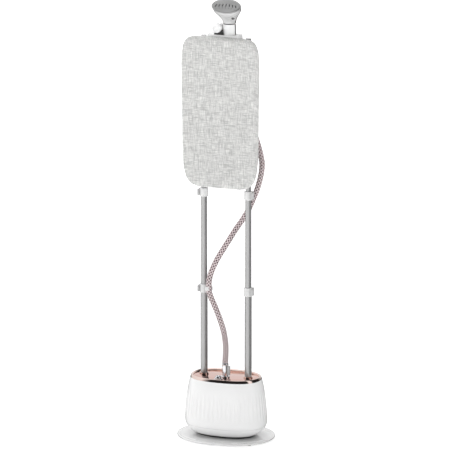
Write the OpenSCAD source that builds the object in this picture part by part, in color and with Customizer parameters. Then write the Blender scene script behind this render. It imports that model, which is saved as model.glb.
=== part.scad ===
// Upright garment steamer: an oval base that boils water, two telescopic poles with
// flip-lever clamps, a padded ironing board, and a steam head on a braided hose.
// Units are millimetres. +Z is up, +X is to the right and the front faces -Y.
// The origin is on the ground, at the centre of the floor plate.

/* [Base] */
// Length of the oval floor plate along X
plate_length = 372; // [364:1:384]
// Depth of the oval floor plate along Y
plate_depth = 314; // [306:1:324]
// Widest part of the housing along X
base_width = 314; // [306:1:322]
// Deepest part of the housing along Y
base_depth = 210; // [204:1:218]
// Diameter of the control dial
dial_d = 25; // [22:0.5:28]
// How far the water tank reaches to each side of the middle
tank_half = 70; // [60:1:70]

/* [Poles] */
// Distance between the two pole axes
pole_spacing = 178; // [174:1:182]
// Outer diameter of the lowest, widest tube
pole_d = 26; // [25:0.1:26]
// Wall thickness of each tube
pole_wall = 1.2; // [1:0.1:1.3]
// Height of the lower clamps above the ground
lower_clamp_z = 548; // [542:1:560]
// Height of the upper clamps above the ground
upper_clamp_z = 916; // [905:1:922]
// Height of the pole tops above the ground
pole_top_z = 1525; // [1522:1:1530]

/* [Board] */
// Width of the ironing board
board_w = 310; // [290:1:330]
// Height of the ironing board
board_h = 577; // [560:1:577]
// Height of the board's lower edge above the ground
board_bottom_z = 960; // [956:1:960]

/* [Head] */
// Width of the soleplate
sole_w = 114; // [108:1:120]
// Diameter of the lock knob beside the head
knob_d = 35; // [30:1:35]
// Diameter of the steam hose
hose_d = 22; // [20:0.5:22.5]

/* [Hidden] */
$fn = 64;
cut = 1;
overlap = 0.1;
ease = 0.1;
slip = 0.3;
fit_gap = 0.2;
oval_power = 2.4;
plate_power = 2.1;
oval_steps = 72;

white = [0.93, 0.93, 0.92];
light_grey = [0.76, 0.77, 0.76];
dark = [0.12, 0.12, 0.13];
rose = [0.87, 0.70, 0.66];
chrome = [0.80, 0.80, 0.82];
aluminium = [0.72, 0.73, 0.74];
linen = [0.82, 0.82, 0.81];
copper = [0.72, 0.45, 0.30];
smoke = [0.80, 0.82, 0.84];
braid = [0.55, 0.44, 0.47];

// Heights of the base's layers
foot_h = 3;
plate_z = 2;
plate_top_z = 9;
pan_z = 18;
panel_z = 229;
base_top_z = 226;
panel_h = 3;
panel_top_z = panel_z + panel_h;
trim_top_z = 237;
pan_floor_z = 21;
shell = 3;

// The housing's outline, as [height, share of the full width]
pan_profile = [[18, 0.790], [24, 0.854], [34, 0.924], [44, 0.965], [48, 0.975]];
housing_profile = [
    [48.4, 0.976], [56, 0.991], [67, 1.000], [82, 0.999], [110, 0.987],
    [150, 0.962], [195, 0.917], [226, 0.869]
];
plate_profile = [[2, -3], [4.5, 0], [7, -1], [9, -5]];
// The trim ring's outside, as [height, inset from the housing's top edge]
trim_profile = [[226.2, 0], [233, 1], [237, 4.5]];
rim_share = 0.869;
rim_w = 10;

foot_r = 10;
foot_xy = [130, 95];
screw_xy = [80, 40];
screw_head_r = 5;
screw_r = 2.4;
screw_recess_z = 5;
screw_top_z = 17;
pedestal_a = 112;
pedestal_b = 70;

// The hose's outlet, the dial and the pieces inside the base
outlet_xy = [4, -20];
outlet_r = 11.7;
outlet_bore_r = 5;
outlet_top_z = 288;
dial_xy = [-8, -60];
dial_z = 234;
dial_stem_r = 3;
switch_size = 26;
switch_top_z = 224;
boiler_xy = [4, -36];
boiler_r = 27;
boiler_z = 62;
boiler_top_z = 150;
steam_pipe_r = 5;
water_pipe_r = 4;
pump_lo = [-66, -60, 58];
pump_size = [30, 36, 40];
pcb_lo = [52, -60, 60];
pcb_size = [2, 50, 90];
gland_z = 36;
gland_r = 5.6;
gland_bore_r = 3.6;
gland_flange_r = 8;
gland_flange_y = base_depth * 0.4675;

// The posts on the pan's floor
boiler_post_r = 22;
post_inset = 2;
pcb_post_w = 6;
socket_z = 58;

// The water tank and its window in the housing's rear wall
tank_z = 60;
tank_top_z = 189;
tank_box_top_z = 178;
tank_front_y = 14;
tank_wall = 2.5;
window_gap = 1;
filler_y = 50;
filler_r = 12;
neck_r = 14;
neck_top_z = 182;
valve_x = -45;
valve_z = 70;
valve_l = 8;

// The three tubes of each pole, widest first
pole_x = pole_spacing / 2;
lower_r = pole_d / 2;
mid_r = lower_r - pole_wall - slip;
upper_r = mid_r - pole_wall - slip;
lower_pole_z = 66;
mid_pole_z = 490;
upper_pole_z = 850;
socket_r = lower_r + 2.5;
stop_h = 5;
plug_l = 10;

// The clamps: a collar on each tube's top and a lever on a vertical pin
collar_h = 32;
collar_r = 16;
seat_h = 24;
split_w = 2;
pin_angle = 135;
pin_at = 20;
pin_r = 1.5;
ear_r = 3.4;
ear_h = 3.6;
lever_gap = 0.4;
lever_h = collar_h - 2 * ear_h - 2 * lever_gap;
lever_in_r = 18;
lever_out_r = 22;
lever_end = 228;
lever_bore_r = 1.6;
tab_l = 8;
tab_w = 3.2;

// The hose's clip on the left lower clamp
clip_xy = [-61.7, -19.6];
clip_in_r = 11.8;
clip_out_r = 14;
clip_h = 14;

// The ironing board and its bracket
board_mid_z = board_bottom_z + board_h / 2;
board_back_y = -40;
board_plate_y = -44;
back_inset = 12;
// The board's layers, as [y, inset from the outline]
cover_profile = [
    [-40.5, 9], [-41.5, 4], [-45, 1], [-52, 0], [-64, 0.4], [-70, 2.6], [-73.5, 7], [-75, 14]
];
cover_hollow = [
    [-38, 12], [-41.5, 8], [-44.2, 5], [-47, 2.6], [-52, 1.7], [-64, 2.1], [-70, 4.4],
    [-72.5, 9], [-73.6, 15.5]
];
pad_profile = [
    [-44.5, 6.4], [-47, 3.4], [-52, 2.2], [-64, 2.6], [-70, 5.2], [-72.1, 10], [-73, 16.5]
];
bracket_z = 1255;
bracket_h = 30;
bracket_wall = 3.5;
arm_x = 62;
arm_w = 16;
bracket_screw_r = 2.5;

// The top bridge, the knob and the cradle
bridge_z = 1492;
bridge_h = 24;
bridge_r = 14;
block_z = 1494;
block_top_z = 1538;
block_half = 61;
block_front_y = -39.8;
block_rear_y = 16;
block_corner = 8;
head_x = 18;
handle_y = -12;
seat_a = 27;
seat_b = 23;
hose_slot = 26;
knob_x = -21.5;
knob_z = 1563;
knob_front_y = -46;
knob_back_y = -24;
tower_front_y = -22;
tower_rear_y = 8;
tower_r = 11;
knob_stem_r = 4;
knob_room = 0.6;

// Sections of the handle and head, as [z, y, half width, half depth, tilt]
section_steps = 30;
sole_tilt = 52;
sole_a = sole_w / 2;
handle_sections = [
    [1465, -12, 16.5, 16, 0], [1500, -12, 20, 18.5, 0], [1525, -12, 23, 20, 0],
    [1545, -12, 24.6, 21, 0], [1560, -12, 24.8, 21.4, 0], [1577, -12, 24.2, 21.4, 0]
];
neck_sections = [[1577.2, -12, 22.6, 19.8, 0], [1579.8, -12, 22.6, 19.8, 0]];
head_sections = [
    [1580, -12, 24.4, 21.6, 0], [1592, -13, 27, 23, 8], [1608, -17, 36, 26, 22],
    [1622, -24, 46, 28.5, 36], [1633, -32.5, sole_a - 3.5, 29.6, 46],
    [1646.3, -42.1, sole_a, 29.3, sole_tilt]
];
// The soleplate's front face, and how far behind it each layer lies
sole_mid = [1650.5, -47.5];
band_layers = [[6.5, 0.6], [5, 0.6]];
plate_layers = [[4.7, 0], [0.9, 0], [0, -1.4]];
sole_b = 29.3;
front_from = 194;
front_to = 346;
rear_from = -10;
rear_to = 190;
trim_low = -13.5;
trim_high = -10.5;
neck_from = 196;
neck_to = 344;
vent_count = 7;
vent_pitch = 13;
vent_w = 3.6;
vent_l = 13;
vent_depth = 2.5;
button_xz = [42, 1603];
button_r = 4.6;
button_front_y = -41;
button_back_y = -31;
button_room = 2.5;
cuff_z = 1440;
cuff_top_z = 1465;
cuff_top_r = 14.5;

// The hose's route from the outlet to the head, and where each of its lengths ends
hose_route = [
    [4, -20, 288], [6, -20, 320], [6, -20, 356], [1, -20, 394], [-9, -20, 431],
    [-23, -20, 468], [-39, -20, 505], [-53, -20, 534], [-61, -20, 560],
    [-62, -19, 587], [-58, -16, 616], [-48, -11, 647], [-33, -5, 681],
    [-12, 3, 719], [9, 13, 757], [32, 22, 797], [53, 30, 830], [71, 34, 861],
    [86, 36, 893], [99, 38, 924], [111, 38, 956], [121, 38, 991], [128, 36, 1023],
    [130, 34, 1054], [125, 32, 1086], [114, 31, 1125], [99, 31, 1170],
    [83, 31, 1215], [67, 30, 1262], [51, 23, 1310], [39, 12, 1342],
    [28.5, 0.5, 1375], [21, -8.5, 1408], [18, -12, 1440]
];
hose_sides = 10;
hose_split_1 = 18;
hose_split_2 = 29;
// Room below each length's first ring, so that it meets the length before it and never cuts it
hose_gap = 0.02;

// Points of an oval whose corners are squarer than an ellipse's
function oval(a, b, power = oval_power) = [
    for (i = [0 : oval_steps - 1])
        let (c = cos(i * 360 / oval_steps), s = sin(i * 360 / oval_steps))
            [a * sign(c) * pow(abs(c), 2 / power), b * sign(s) * pow(abs(s), 2 / power)]
];

// One level ring of points
function ring(a, b, z, power = oval_power) = [for (p = oval(a, b, power)) [p.x, p.y, z]];

// Rings of the housing or pan, drawn in by a wall and stretched past both ends
function shell_rings(profile, inset, stretch = 0) = [
    for (i = [0 : len(profile) - 1])
        ring(
            base_width / 2 * profile[i][1] - inset,
            base_depth / 2 * profile[i][1] - inset,
            profile[i][0] + (i == 0 ? -stretch : i == len(profile) - 1 ? stretch : 0)
        )
];

// The board's outline: squarer corners at the top, rounder and narrower at the bottom
function board_ring(y, inset) = [
    for (i = [0 : oval_steps - 1])
        let (
            c = cos(i * 360 / oval_steps),
            s = sin(i * 360 / oval_steps),
            power = s > 0 ? 8 : 6,
            up = sign(s) * pow(abs(s), 2 / power),
            narrow = 1 - 0.02 * (1 - up)
        )
            [
                (board_w / 2 * narrow - inset) * sign(c) * pow(abs(c), 2 / power),
                y,
                board_mid_z + (board_h / 2 - inset) * up
            ]
];

// Part of one tilted section of the head, from one angle to another and closed by a chord
function section(s, from, to) = [
    for (i = [0 : section_steps])
        let (t = from + (to - from) * i / section_steps, v = s[3] * sin(t))
            [head_x + s[2] * cos(t), s[1] + v * cos(s[4]), s[0] + v * sin(s[4])]
];

// A full section of the head
function full_section(s) = [
    for (i = [0 : 2 * section_steps - 1])
        let (t = i * 180 / section_steps, v = s[3] * sin(t))
            [head_x + s[2] * cos(t), s[1] + v * cos(s[4]), s[0] + v * sin(s[4])]
];

// A thin slice across a section, between its front and rear pieces
function trim_section(s) = [
    for (t = [trim_low, trim_high, 180 - trim_high, 180 - trim_low])
        let (v = s[3] * sin(t))
            [head_x + s[2] * cos(t), s[1] + v * cos(s[4]), s[0] + v * sin(s[4])]
];

// A section parallel to the soleplate's face and behind it by some depth
function sole_section(layer) = [
    sole_mid.x - layer[0] * cos(sole_tilt),
    sole_mid.y + layer[0] * sin(sole_tilt),
    sole_a + layer[1],
    sole_b + layer[1],
    sole_tilt
];

function unit(v) = v / norm(v);

// The hose's direction at a point of its route; both ends stand upright
function hose_way(i) = i == 0 || i == len(hose_route) - 1
    ? [0, 0, 1]
    : unit(hose_route[i + 1] - hose_route[i - 1]);

// A ring of the hose's surface at a point of its route, moved on along it by some room
function hose_ring(i, room) =
    let (u = unit(cross([0, 1, 0], hose_way(i))), v = cross(hose_way(i), u))
        [
            for (k = [0 : hose_sides - 1])
                let (t = k * 360 / hose_sides)
                    hose_route[i] + room * hose_way(i) + hose_d / 2 * (cos(t) * u + sin(t) * v)
        ];

// A closed solid through rings of points that turn counter-clockwise, lowest first
module loft(rings) {
    n = len(rings[0]);
    last = len(rings) - 1;
    sides = [
        for (j = [0 : last - 1], i = [0 : n - 1])
            let (a = j * n + i, b = j * n + (i + 1) % n)
                each [[a, a + n, b + n], [a, b + n, b]]
    ];
    ends = [[for (i = [0 : n - 1]) i], [for (i = [n - 1 : -1 : 0]) last * n + i]];
    polyhedron(points = [for (r = rings) each r], faces = concat(sides, ends));
}

module tube(outer_r, inner_r, from_z, to_z) {
    difference() {
        translate([0, 0, from_z])
            cylinder(r = outer_r, h = to_z - from_z);
        translate([0, 0, from_z - cut])
            cylinder(r = inner_r, h = to_z - from_z + 2 * cut);
    }
}

module rod(r, from_z, to_z) {
    translate([0, 0, from_z])
        cylinder(r = r, h = to_z - from_z);
}

// A rod along Y
module rod_y(r, from_y, to_y) {
    translate([0, to_y, 0])
        rotate([90, 0, 0])
            cylinder(r = r, h = to_y - from_y);
}

module at_left_pole() {
    translate([-pole_x, 0, 0])
        children();
}

module at_right_pole() {
    mirror([1, 0, 0])
        at_left_pole()
            children();
}

module at_both_poles() {
    at_left_pole()
        children();
    at_right_pole()
        children();
}

module at_corners(xy) {
    for (x = [-xy.x, xy.x], y = [-xy.y, xy.y])
        translate([x, y, 0])
            children();
}

// ---- The base ----

module floor_plate() {
    color(white)
        difference() {
            loft([
                for (p = plate_profile)
                    ring(plate_length / 2 + p[1], plate_depth / 2 + p[1], p[0], plate_power)
            ]);
            at_corners(foot_xy)
                rod(foot_r, plate_z - cut, foot_h);
            at_corners(screw_xy) {
                rod(screw_r, plate_z, plate_top_z + cut);
                rod(screw_head_r, plate_z - cut, screw_recess_z);
            }
        }
}

module floor_feet() {
    color(dark)
        at_corners(foot_xy)
            rod(foot_r, 0, foot_h);
}

module base_screws() {
    color(chrome)
        at_corners(screw_xy) {
            rod(screw_head_r, screw_recess_z - 2.8, screw_recess_z);
            rod(screw_r, screw_recess_z - overlap, screw_top_z);
        }
}

module pedestal() {
    color(dark)
        difference() {
            loft([
                ring(pedestal_a, pedestal_b, plate_top_z),
                ring(pedestal_a, pedestal_b, pan_z)
            ]);
            at_corners(screw_xy)
                rod(screw_r, plate_top_z - cut, screw_top_z);
        }
}

// The pan closes the base from below, and the boiler, pump and sockets stand in it
module base_pan() {
    color(white)
        difference() {
            union() {
                difference() {
                    loft(shell_rings(pan_profile, 0));
                    intersection() {
                        loft(shell_rings(pan_profile, shell, cut));
                        translate([-base_width, -base_depth, pan_floor_z])
                            cube([2 * base_width, 2 * base_depth, base_width]);
                    }
                }
                translate([boiler_xy.x, boiler_xy.y, 0])
                    rod(boiler_post_r, pan_floor_z - cut, boiler_z);
                translate([pump_lo.x + post_inset, pump_lo.y + post_inset, pan_floor_z - cut])
                    cube([
                        pump_size.x - 2 * post_inset,
                        pump_size.y - 2 * post_inset,
                        pump_lo.z - pan_floor_z + cut
                    ]);
                translate([pcb_lo.x - post_inset, pcb_lo.y, pan_floor_z - cut])
                    cube([pcb_post_w, pcb_size.y, pcb_lo.z - pan_floor_z + cut]);
                at_both_poles()
                    rod(socket_r + 3, pan_floor_z - cut, socket_z);
                translate([0, 0, gland_z])
                    rod_y(gland_flange_r + 1.5, base_depth * 0.43, gland_flange_y);
            }
            translate([0, 0, gland_z]) {
                rod_y(gland_r, base_depth / 4, base_depth);
                rod_y(gland_flange_r, gland_flange_y, base_depth);
            }
        }
}

module housing_wall() {
    difference() {
        loft(shell_rings(housing_profile, 0));
        loft(shell_rings(housing_profile, shell, cut));
    }
}

module base_housing() {
    color(white)
        difference() {
            housing_wall();
            translate([-tank_half - window_gap, 0, tank_z - window_gap])
                cube([2 * (tank_half + window_gap), base_depth, tank_top_z - tank_z + 2 * window_gap]);
        }
}

module trim_ring() {
    top_a = base_width / 2 * rim_share;
    top_b = base_depth / 2 * rim_share;
    color(rose)
        difference() {
            loft([for (p = trim_profile) ring(top_a - p[1], top_b - p[1], p[0])]);
            loft([
                ring(top_a - rim_w, top_b - rim_w, base_top_z - cut),
                ring(top_a - rim_w, top_b - rim_w, trim_top_z + cut)
            ]);
        }
}

module top_panel() {
    inset = rim_w + fit_gap;
    top_a = base_width / 2 * rim_share - inset;
    top_b = base_depth / 2 * rim_share - inset;
    color(rose)
        difference() {
            loft([ring(top_a, top_b, panel_z), ring(top_a, top_b, panel_top_z)]);
            at_both_poles()
                rod(socket_r, panel_z - cut, panel_top_z + cut);
            translate([outlet_xy.x, outlet_xy.y, 0])
                rod(outlet_r, panel_z - cut, panel_top_z + cut);
            translate([dial_xy.x, dial_xy.y, 0])
                rod(dial_stem_r + 2 * fit_gap, panel_z - cut, panel_top_z + cut);
        }
}

module pole_sockets() {
    socket_top_z = trim_top_z + 2;
    flange_r = socket_r + 2;
    color(rose)
        at_both_poles()
            difference() {
                union() {
                    rod(socket_r, socket_z, socket_top_z);
                    rod(flange_r, panel_top_z, trim_top_z);
                }
                rod(lower_r, lower_pole_z, socket_top_z + cut);
            }
}

// Two rings on the panel, around the dial and around the hose's outlet
module panel_rings() {
    dial_ring_r = dial_d / 2 + 4;
    dial_ring_h = 3;
    outlet_ring_r = outlet_r + 6;
    outlet_ring_h = 5;
    color(chrome) {
        translate([dial_xy.x, dial_xy.y, 0])
            tube(dial_ring_r, dial_d / 2 + 0.8, panel_top_z, panel_top_z + dial_ring_h);
        translate([outlet_xy.x, outlet_xy.y, 0])
            tube(outlet_ring_r, outlet_r, panel_top_z, panel_top_z + outlet_ring_h);
    }
}

module hose_outlet() {
    bead_r = outlet_r + 1.3;
    bead_z = outlet_top_z - 9;
    bead_h = 5;
    color(chrome)
        translate([outlet_xy.x, outlet_xy.y, 0])
            difference() {
                union() {
                    rod(outlet_r, base_top_z, outlet_top_z);
                    rod(bead_r, bead_z, bead_z + bead_h);
                }
                rod(outlet_bore_r, base_top_z - cut, outlet_top_z + cut);
            }
}

// Where the mains cord would leave, at the back of the pan
module cord_gland() {
    flange_h = 4;
    color(dark)
        translate([0, 0, gland_z])
            difference() {
                union() {
                    rod_y(gland_r, base_depth * 0.42, base_depth / 2 + 1);
                    rod_y(gland_flange_r, gland_flange_y, gland_flange_y + flange_h);
                }
                rod_y(gland_bore_r, 0, base_depth);
            }
}

// The boiler, with its heater's band low down and its lid's flange near the top
module boiler() {
    band_r = boiler_r + 3;
    heater_z = boiler_z + 6;
    heater_h = 6;
    lid_z = boiler_top_z - 20;
    lid_h = 4;
    color(aluminium)
        translate([boiler_xy.x, boiler_xy.y, 0])
            union() {
                rod(boiler_r, boiler_z, boiler_top_z);
                rod(band_r, heater_z, heater_z + heater_h);
                rod(band_r, lid_z, lid_z + lid_h);
            }
}

module water_pump() {
    color(dark)
        translate(pump_lo)
            cube(pump_size);
}

// From the tank's valve seat to the pump, from the pump to the boiler, and the steam pipe
module feed_pipes() {
    pump_rear_y = pump_lo.y + pump_size.y;
    seat_y = tank_front_y - valve_l - 1;
    flange_h = 4;
    color(copper) {
        translate([valve_x, 0, valve_z]) {
            rod_y(water_pipe_r, pump_rear_y, seat_y);
            rod_y(water_pipe_r + 3, seat_y - flange_h, seat_y);
        }
        translate([pump_lo.x + pump_size.x, boiler_xy.y, valve_z + 12])
            rotate([0, 90, 0])
                cylinder(r = water_pipe_r, h = boiler_xy.x - boiler_r - pump_lo.x - pump_size.x);
        translate([outlet_xy.x, outlet_xy.y, 0])
            rod(steam_pipe_r, boiler_top_z, base_top_z);
    }
}

module rotary_switch() {
    body_h = 19;
    bush_r = dial_stem_r + 3;
    stem_hole_h = 10;
    color(dark)
        translate([dial_xy.x, dial_xy.y, 0])
            difference() {
                union() {
                    translate([-switch_size / 2, -switch_size / 2, switch_top_z - body_h])
                        cube([switch_size, switch_size, body_h]);
                    rod(bush_r, switch_top_z - cut, panel_z);
                }
                rod(dial_stem_r + ease, switch_top_z - stem_hole_h, panel_z + cut);
            }
}

module control_board() {
    color([0.15, 0.4, 0.25])
        translate(pcb_lo)
            cube(pcb_size);
}

module control_dial() {
    cap_r = dial_d / 2;
    dome_h = 8;
    ball_r = (cap_r * cap_r + dome_h * dome_h) / (2 * dome_h);
    dome_z = dial_z + 6;
    mark_w = 2;
    color(chrome)
        translate([dial_xy.x, dial_xy.y, 0])
            difference() {
                union() {
                    rod(cap_r, dial_z, dome_z);
                    intersection() {
                        rod(cap_r, dome_z - cut, dome_z + dome_h + cut);
                        translate([0, 0, dome_z + dome_h - ball_r])
                            sphere(r = ball_r);
                    }
                    rod(dial_stem_r, switch_top_z - 8, dial_z + cut);
                }
                translate([-mark_w / 2, -cap_r - cut, dome_z + 1])
                    cube([mark_w, cap_r * 0.7, dome_h]);
            }
}

// A press latch that holds the hose's fitting in the outlet
module hose_latch() {
    latch_z = panel_top_z + 9.5;
    latch_h = 34;
    latch_w = 14;
    color(light_grey)
        translate([outlet_xy.x, outlet_xy.y, 0])
            difference() {
                intersection() {
                    rod(outlet_r + 7.5, latch_z, latch_z + latch_h);
                    translate([2, -latch_w / 2, latch_z])
                        cube([2 * outlet_r, latch_w, latch_h]);
                }
                rod(outlet_r + 0.5, latch_z - cut, latch_z + latch_h + cut);
            }
}

// ---- The water tank ----

// The tank fills the rear of the base, and its back face is part of the housing's wall
module water_tank() {
    side_gap = 2;
    box_z = tank_z + side_gap;
    box_half = tank_half - side_gap;
    grip_z = tank_top_z - 16;
    grip_w = 48;
    grip_h = 6;
    color(smoke)
        difference() {
            union() {
                intersection() {
                    housing_wall();
                    translate([-tank_half, 0, tank_z])
                        cube([2 * tank_half, base_depth, tank_top_z - tank_z]);
                }
                intersection() {
                    loft(shell_rings(housing_profile, 0.6));
                    translate([-box_half, tank_front_y, box_z])
                        cube([2 * box_half, base_depth, tank_box_top_z - box_z]);
                }
                translate([0, filler_y, 0])
                    rod(neck_r, tank_box_top_z - cut, neck_top_z);
                translate([-grip_w / 2, base_depth * 0.43, grip_z])
                    cube([grip_w, base_depth * 0.05, grip_h]);
            }
            intersection() {
                loft(shell_rings(housing_profile, shell + tank_wall));
                translate([
                    tank_wall - box_half,
                    tank_front_y + tank_wall,
                    box_z + tank_wall
                ])
                    cube([
                        2 * (box_half - tank_wall),
                        base_depth,
                        tank_box_top_z - box_z - 2 * tank_wall
                    ]);
            }
            translate([0, filler_y, 0])
                rod(filler_r, tank_box_top_z - 2 * tank_wall, neck_top_z + cut);
        }
}

module tank_valve() {
    color(dark)
        translate([valve_x, 0, valve_z])
            rod_y(5, tank_front_y - valve_l, tank_front_y);
}

module tank_cap() {
    cap_r = neck_r + 3;
    cap_h = 3;
    top_z = neck_top_z + slip;
    bar_w = 24;
    bar_t = 4;
    color(dark)
        translate([0, filler_y, 0])
            union() {
                tube(cap_r, neck_r + slip, tank_box_top_z + 0.4, top_z + cut);
                rod(cap_r, top_z, top_z + cap_h);
                translate([-bar_w / 2, -bar_t / 2, top_z + cap_h - cut])
                    cube([bar_w, bar_t, 3]);
            }
}

// ---- The poles and their clamps ----

module pin_ear() {
    linear_extrude(ear_h)
        rotate(pin_angle) {
            translate([pin_at, 0])
                circle(r = ear_r);
            translate([collar_r - 2, -ear_r])
                square([pin_at - collar_r + 2, 2 * ear_r]);
        }
}

// A collar seated on the top of one tube, with the next tube sliding through it
module clamp_collar(z, seat_r, pass_r) {
    translate([0, 0, z])
        difference() {
            union() {
                cylinder(r = collar_r, h = collar_h);
                for (ear_z = [0, collar_h - ear_h])
                    translate([0, 0, ear_z])
                        pin_ear();
            }
            translate([0, 0, -cut])
                cylinder(r = seat_r, h = seat_h + cut);
            cylinder(r = pass_r, h = collar_h + cut);
            translate([0, -split_w / 2, -cut])
                cube([collar_r + cut, split_w, collar_h + 2 * cut]);
            rotate(pin_angle)
                translate([pin_at, 0, -cut])
                    cylinder(r = pin_r, h = collar_h + 2 * cut);
        }
}

module clamp_pin(z) {
    rotate(pin_angle)
        translate([pin_at, 0, z])
            cylinder(r = pin_r, h = collar_h);
}

// A flip lever: a barrel on the pin, a band around the collar and a thumb tab
module flip_lever(z) {
    reach = lever_out_r * 1.2;
    translate([0, 0, z + ear_h + lever_gap])
        linear_extrude(lever_h)
            difference() {
                union() {
                    rotate(pin_angle)
                        translate([pin_at, 0])
                            circle(r = ear_r);
                    intersection() {
                        difference() {
                            circle(r = lever_out_r);
                            circle(r = lever_in_r);
                        }
                        polygon([
                            [0, 0],
                            for (t = [pin_angle + 4, 180, lever_end])
                                2 * reach * [cos(t), sin(t)]
                        ]);
                    }
                    rotate(lever_end - 3)
                        translate([lever_in_r + 0.2, -tab_w])
                            square([tab_l, tab_w]);
                }
                rotate(pin_angle)
                    translate([pin_at, 0])
                        circle(r = lever_bore_r);
            }
}

module lower_pole() {
    tube(lower_r, lower_r - pole_wall, lower_pole_z, lower_clamp_z + seat_h);
}

module mid_pole() {
    tube(mid_r, mid_r - pole_wall, mid_pole_z, upper_clamp_z + seat_h);
}

module upper_pole() {
    tube(upper_r, upper_r - pole_wall, upper_pole_z, pole_top_z);
}

module lower_pole_left() {
    color(aluminium)
        at_left_pole()
            lower_pole();
}

module lower_pole_right() {
    color(aluminium)
        at_right_pole()
            lower_pole();
}

module mid_pole_left() {
    color(aluminium)
        at_left_pole()
            mid_pole();
}

module mid_pole_right() {
    color(aluminium)
        at_right_pole()
            mid_pole();
}

module upper_pole_left() {
    color(aluminium)
        at_left_pole()
            upper_pole();
}

module upper_pole_right() {
    color(aluminium)
        at_right_pole()
            upper_pole();
}

module lower_collars() {
    color(white)
        at_both_poles()
            clamp_collar(lower_clamp_z, lower_r, mid_r + slip);
}

module upper_collars() {
    color(white)
        at_both_poles()
            clamp_collar(upper_clamp_z, mid_r, upper_r + slip);
}

module lower_pins() {
    color(chrome)
        at_both_poles()
            clamp_pin(lower_clamp_z);
}

module upper_pins() {
    color(chrome)
        at_both_poles()
            clamp_pin(upper_clamp_z);
}

module lower_lever_left() {
    color(light_grey)
        at_left_pole()
            flip_lever(lower_clamp_z);
}

module lower_lever_right() {
    color(light_grey)
        at_right_pole()
            flip_lever(lower_clamp_z);
}

module upper_lever_left() {
    color(light_grey)
        at_left_pole()
            flip_lever(upper_clamp_z);
}

module upper_lever_right() {
    color(light_grey)
        at_right_pole()
            flip_lever(upper_clamp_z);
}

// A stop on the lower end of each middle tube
module mid_end_plugs() {
    color(dark)
        at_both_poles() {
            rod(mid_r, mid_pole_z - stop_h, mid_pole_z);
            rod(mid_r - pole_wall, mid_pole_z - cut, mid_pole_z + plug_l);
        }
}

// A stop on the lower end and a cap on the top of each upper tube
module upper_pole_ends() {
    cap_h = 3;
    color(white)
        at_both_poles() {
            rod(upper_r, upper_pole_z - stop_h, upper_pole_z);
            rod(upper_r - pole_wall, upper_pole_z - cut, upper_pole_z + plug_l);
            rod(upper_r, pole_top_z, pole_top_z + cap_h);
            rod(upper_r - pole_wall, pole_top_z - plug_l, pole_top_z + cut);
        }
}

// An open ring beside the left lower clamp that the hose is pressed into
module hose_clip() {
    clip_z = lower_clamp_z + 14;
    arm_l = 7.2;
    arm_h = 8;
    mouth = 16;
    mouth_angle = -35;
    color(white)
        difference() {
            translate([clip_xy.x, clip_xy.y, clip_z])
                difference() {
                    union() {
                        cylinder(r = clip_out_r, h = clip_h);
                        rotate(atan2(-clip_xy.y, -pole_x - clip_xy.x))
                            translate([clip_in_r + cut, -arm_h / 2, 0])
                                cube([arm_l, arm_h, clip_h]);
                    }
                    translate([0, 0, -cut])
                        cylinder(r = clip_in_r, h = clip_h + 2 * cut);
                    rotate(mouth_angle)
                        translate([0, -mouth / 2, -cut])
                            cube([clip_out_r + cut, mouth, clip_h + 2 * cut]);
                }
            at_left_pole()
                rod(collar_r, clip_z - cut, clip_z + clip_h + cut);
        }
}

// ---- The bridge, the knob and the cradle ----

module rounded_plan(x0, x1, y0, y1, r) {
    hull()
        for (x = [x0 + r, x1 - r], y = [y0 + r, y1 - r])
            translate([x, y])
                circle(r = r, $fn = 32);
}

// A bar across the pole tops, a block with the head's seat, and the knob's tower
module top_bridge() {
    bar_inset = 3;
    stem_hole_end_y = tower_rear_y - 3;
    color(white)
        difference() {
            union() {
                translate([0, 0, bridge_z])
                    linear_extrude(bridge_h) {
                        translate([-pole_x, bar_inset - bridge_r])
                            square([pole_spacing, 2 * (bridge_r - bar_inset)]);
                        for (x = [-pole_x, pole_x])
                            translate([x, 0])
                                circle(r = bridge_r);
                    }
                translate([0, 0, block_z])
                    linear_extrude(block_top_z - block_z)
                        rounded_plan(
                            -block_half, block_half, block_front_y, block_rear_y, block_corner
                        );
                translate([knob_x, 0, knob_z])
                    rod_y(tower_r, tower_front_y, tower_rear_y);
                translate([knob_x - tower_r, tower_front_y, block_top_z - cut])
                    cube([2 * tower_r, tower_rear_y - tower_front_y, knob_z - block_top_z + cut]);
            }
            at_both_poles()
                rod(upper_r, bridge_z - cut, block_top_z + cut);
            loft([
                for (z = [bridge_z - 2 * cut, block_top_z + cut])
                    [
                        for (p = oval(seat_a, seat_b, 2))
                            [head_x + p.x, handle_y + p.y, z]
                    ]
            ]);
            translate([head_x - hose_slot / 2, 0, bridge_z - 2 * cut])
                cube([hose_slot, block_rear_y + cut, block_top_z - bridge_z + 4 * cut]);
            translate([knob_x, 0, knob_z])
                rod_y(knob_stem_r + ease, tower_front_y - cut, stem_hole_end_y);
        }
}

// A soft wedge on the block, in front of the knob's tower and beside the head
module cradle_pad() {
    pad_x = knob_x - tower_r - 1;
    pad_d = 15;
    pad_end_x = 2;
    tip_x = [-14, -1];
    tip_h = 18;
    heel_h = 5;
    color(dark)
        difference() {
            translate([0, tower_front_y - fit_gap, 0])
                rotate([90, 0, 0])
                    linear_extrude(pad_d)
                        difference() {
                            polygon([
                                [pad_x, block_top_z],
                                [pad_end_x, block_top_z],
                                [tip_x[1], block_top_z + tip_h],
                                [tip_x[0], block_top_z + tip_h],
                                [pad_x, block_top_z + heel_h]
                            ]);
                            translate([knob_x, knob_z])
                                circle(r = knob_d / 2 + knob_room);
                        }
            loft([
                for (z = [block_top_z - cut, block_top_z + tip_h + cut])
                    [
                        for (p = oval(seat_a + fit_gap, seat_b + fit_gap, 2))
                            [head_x + p.x, handle_y + p.y, z]
                    ]
            ]);
        }
}

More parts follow.
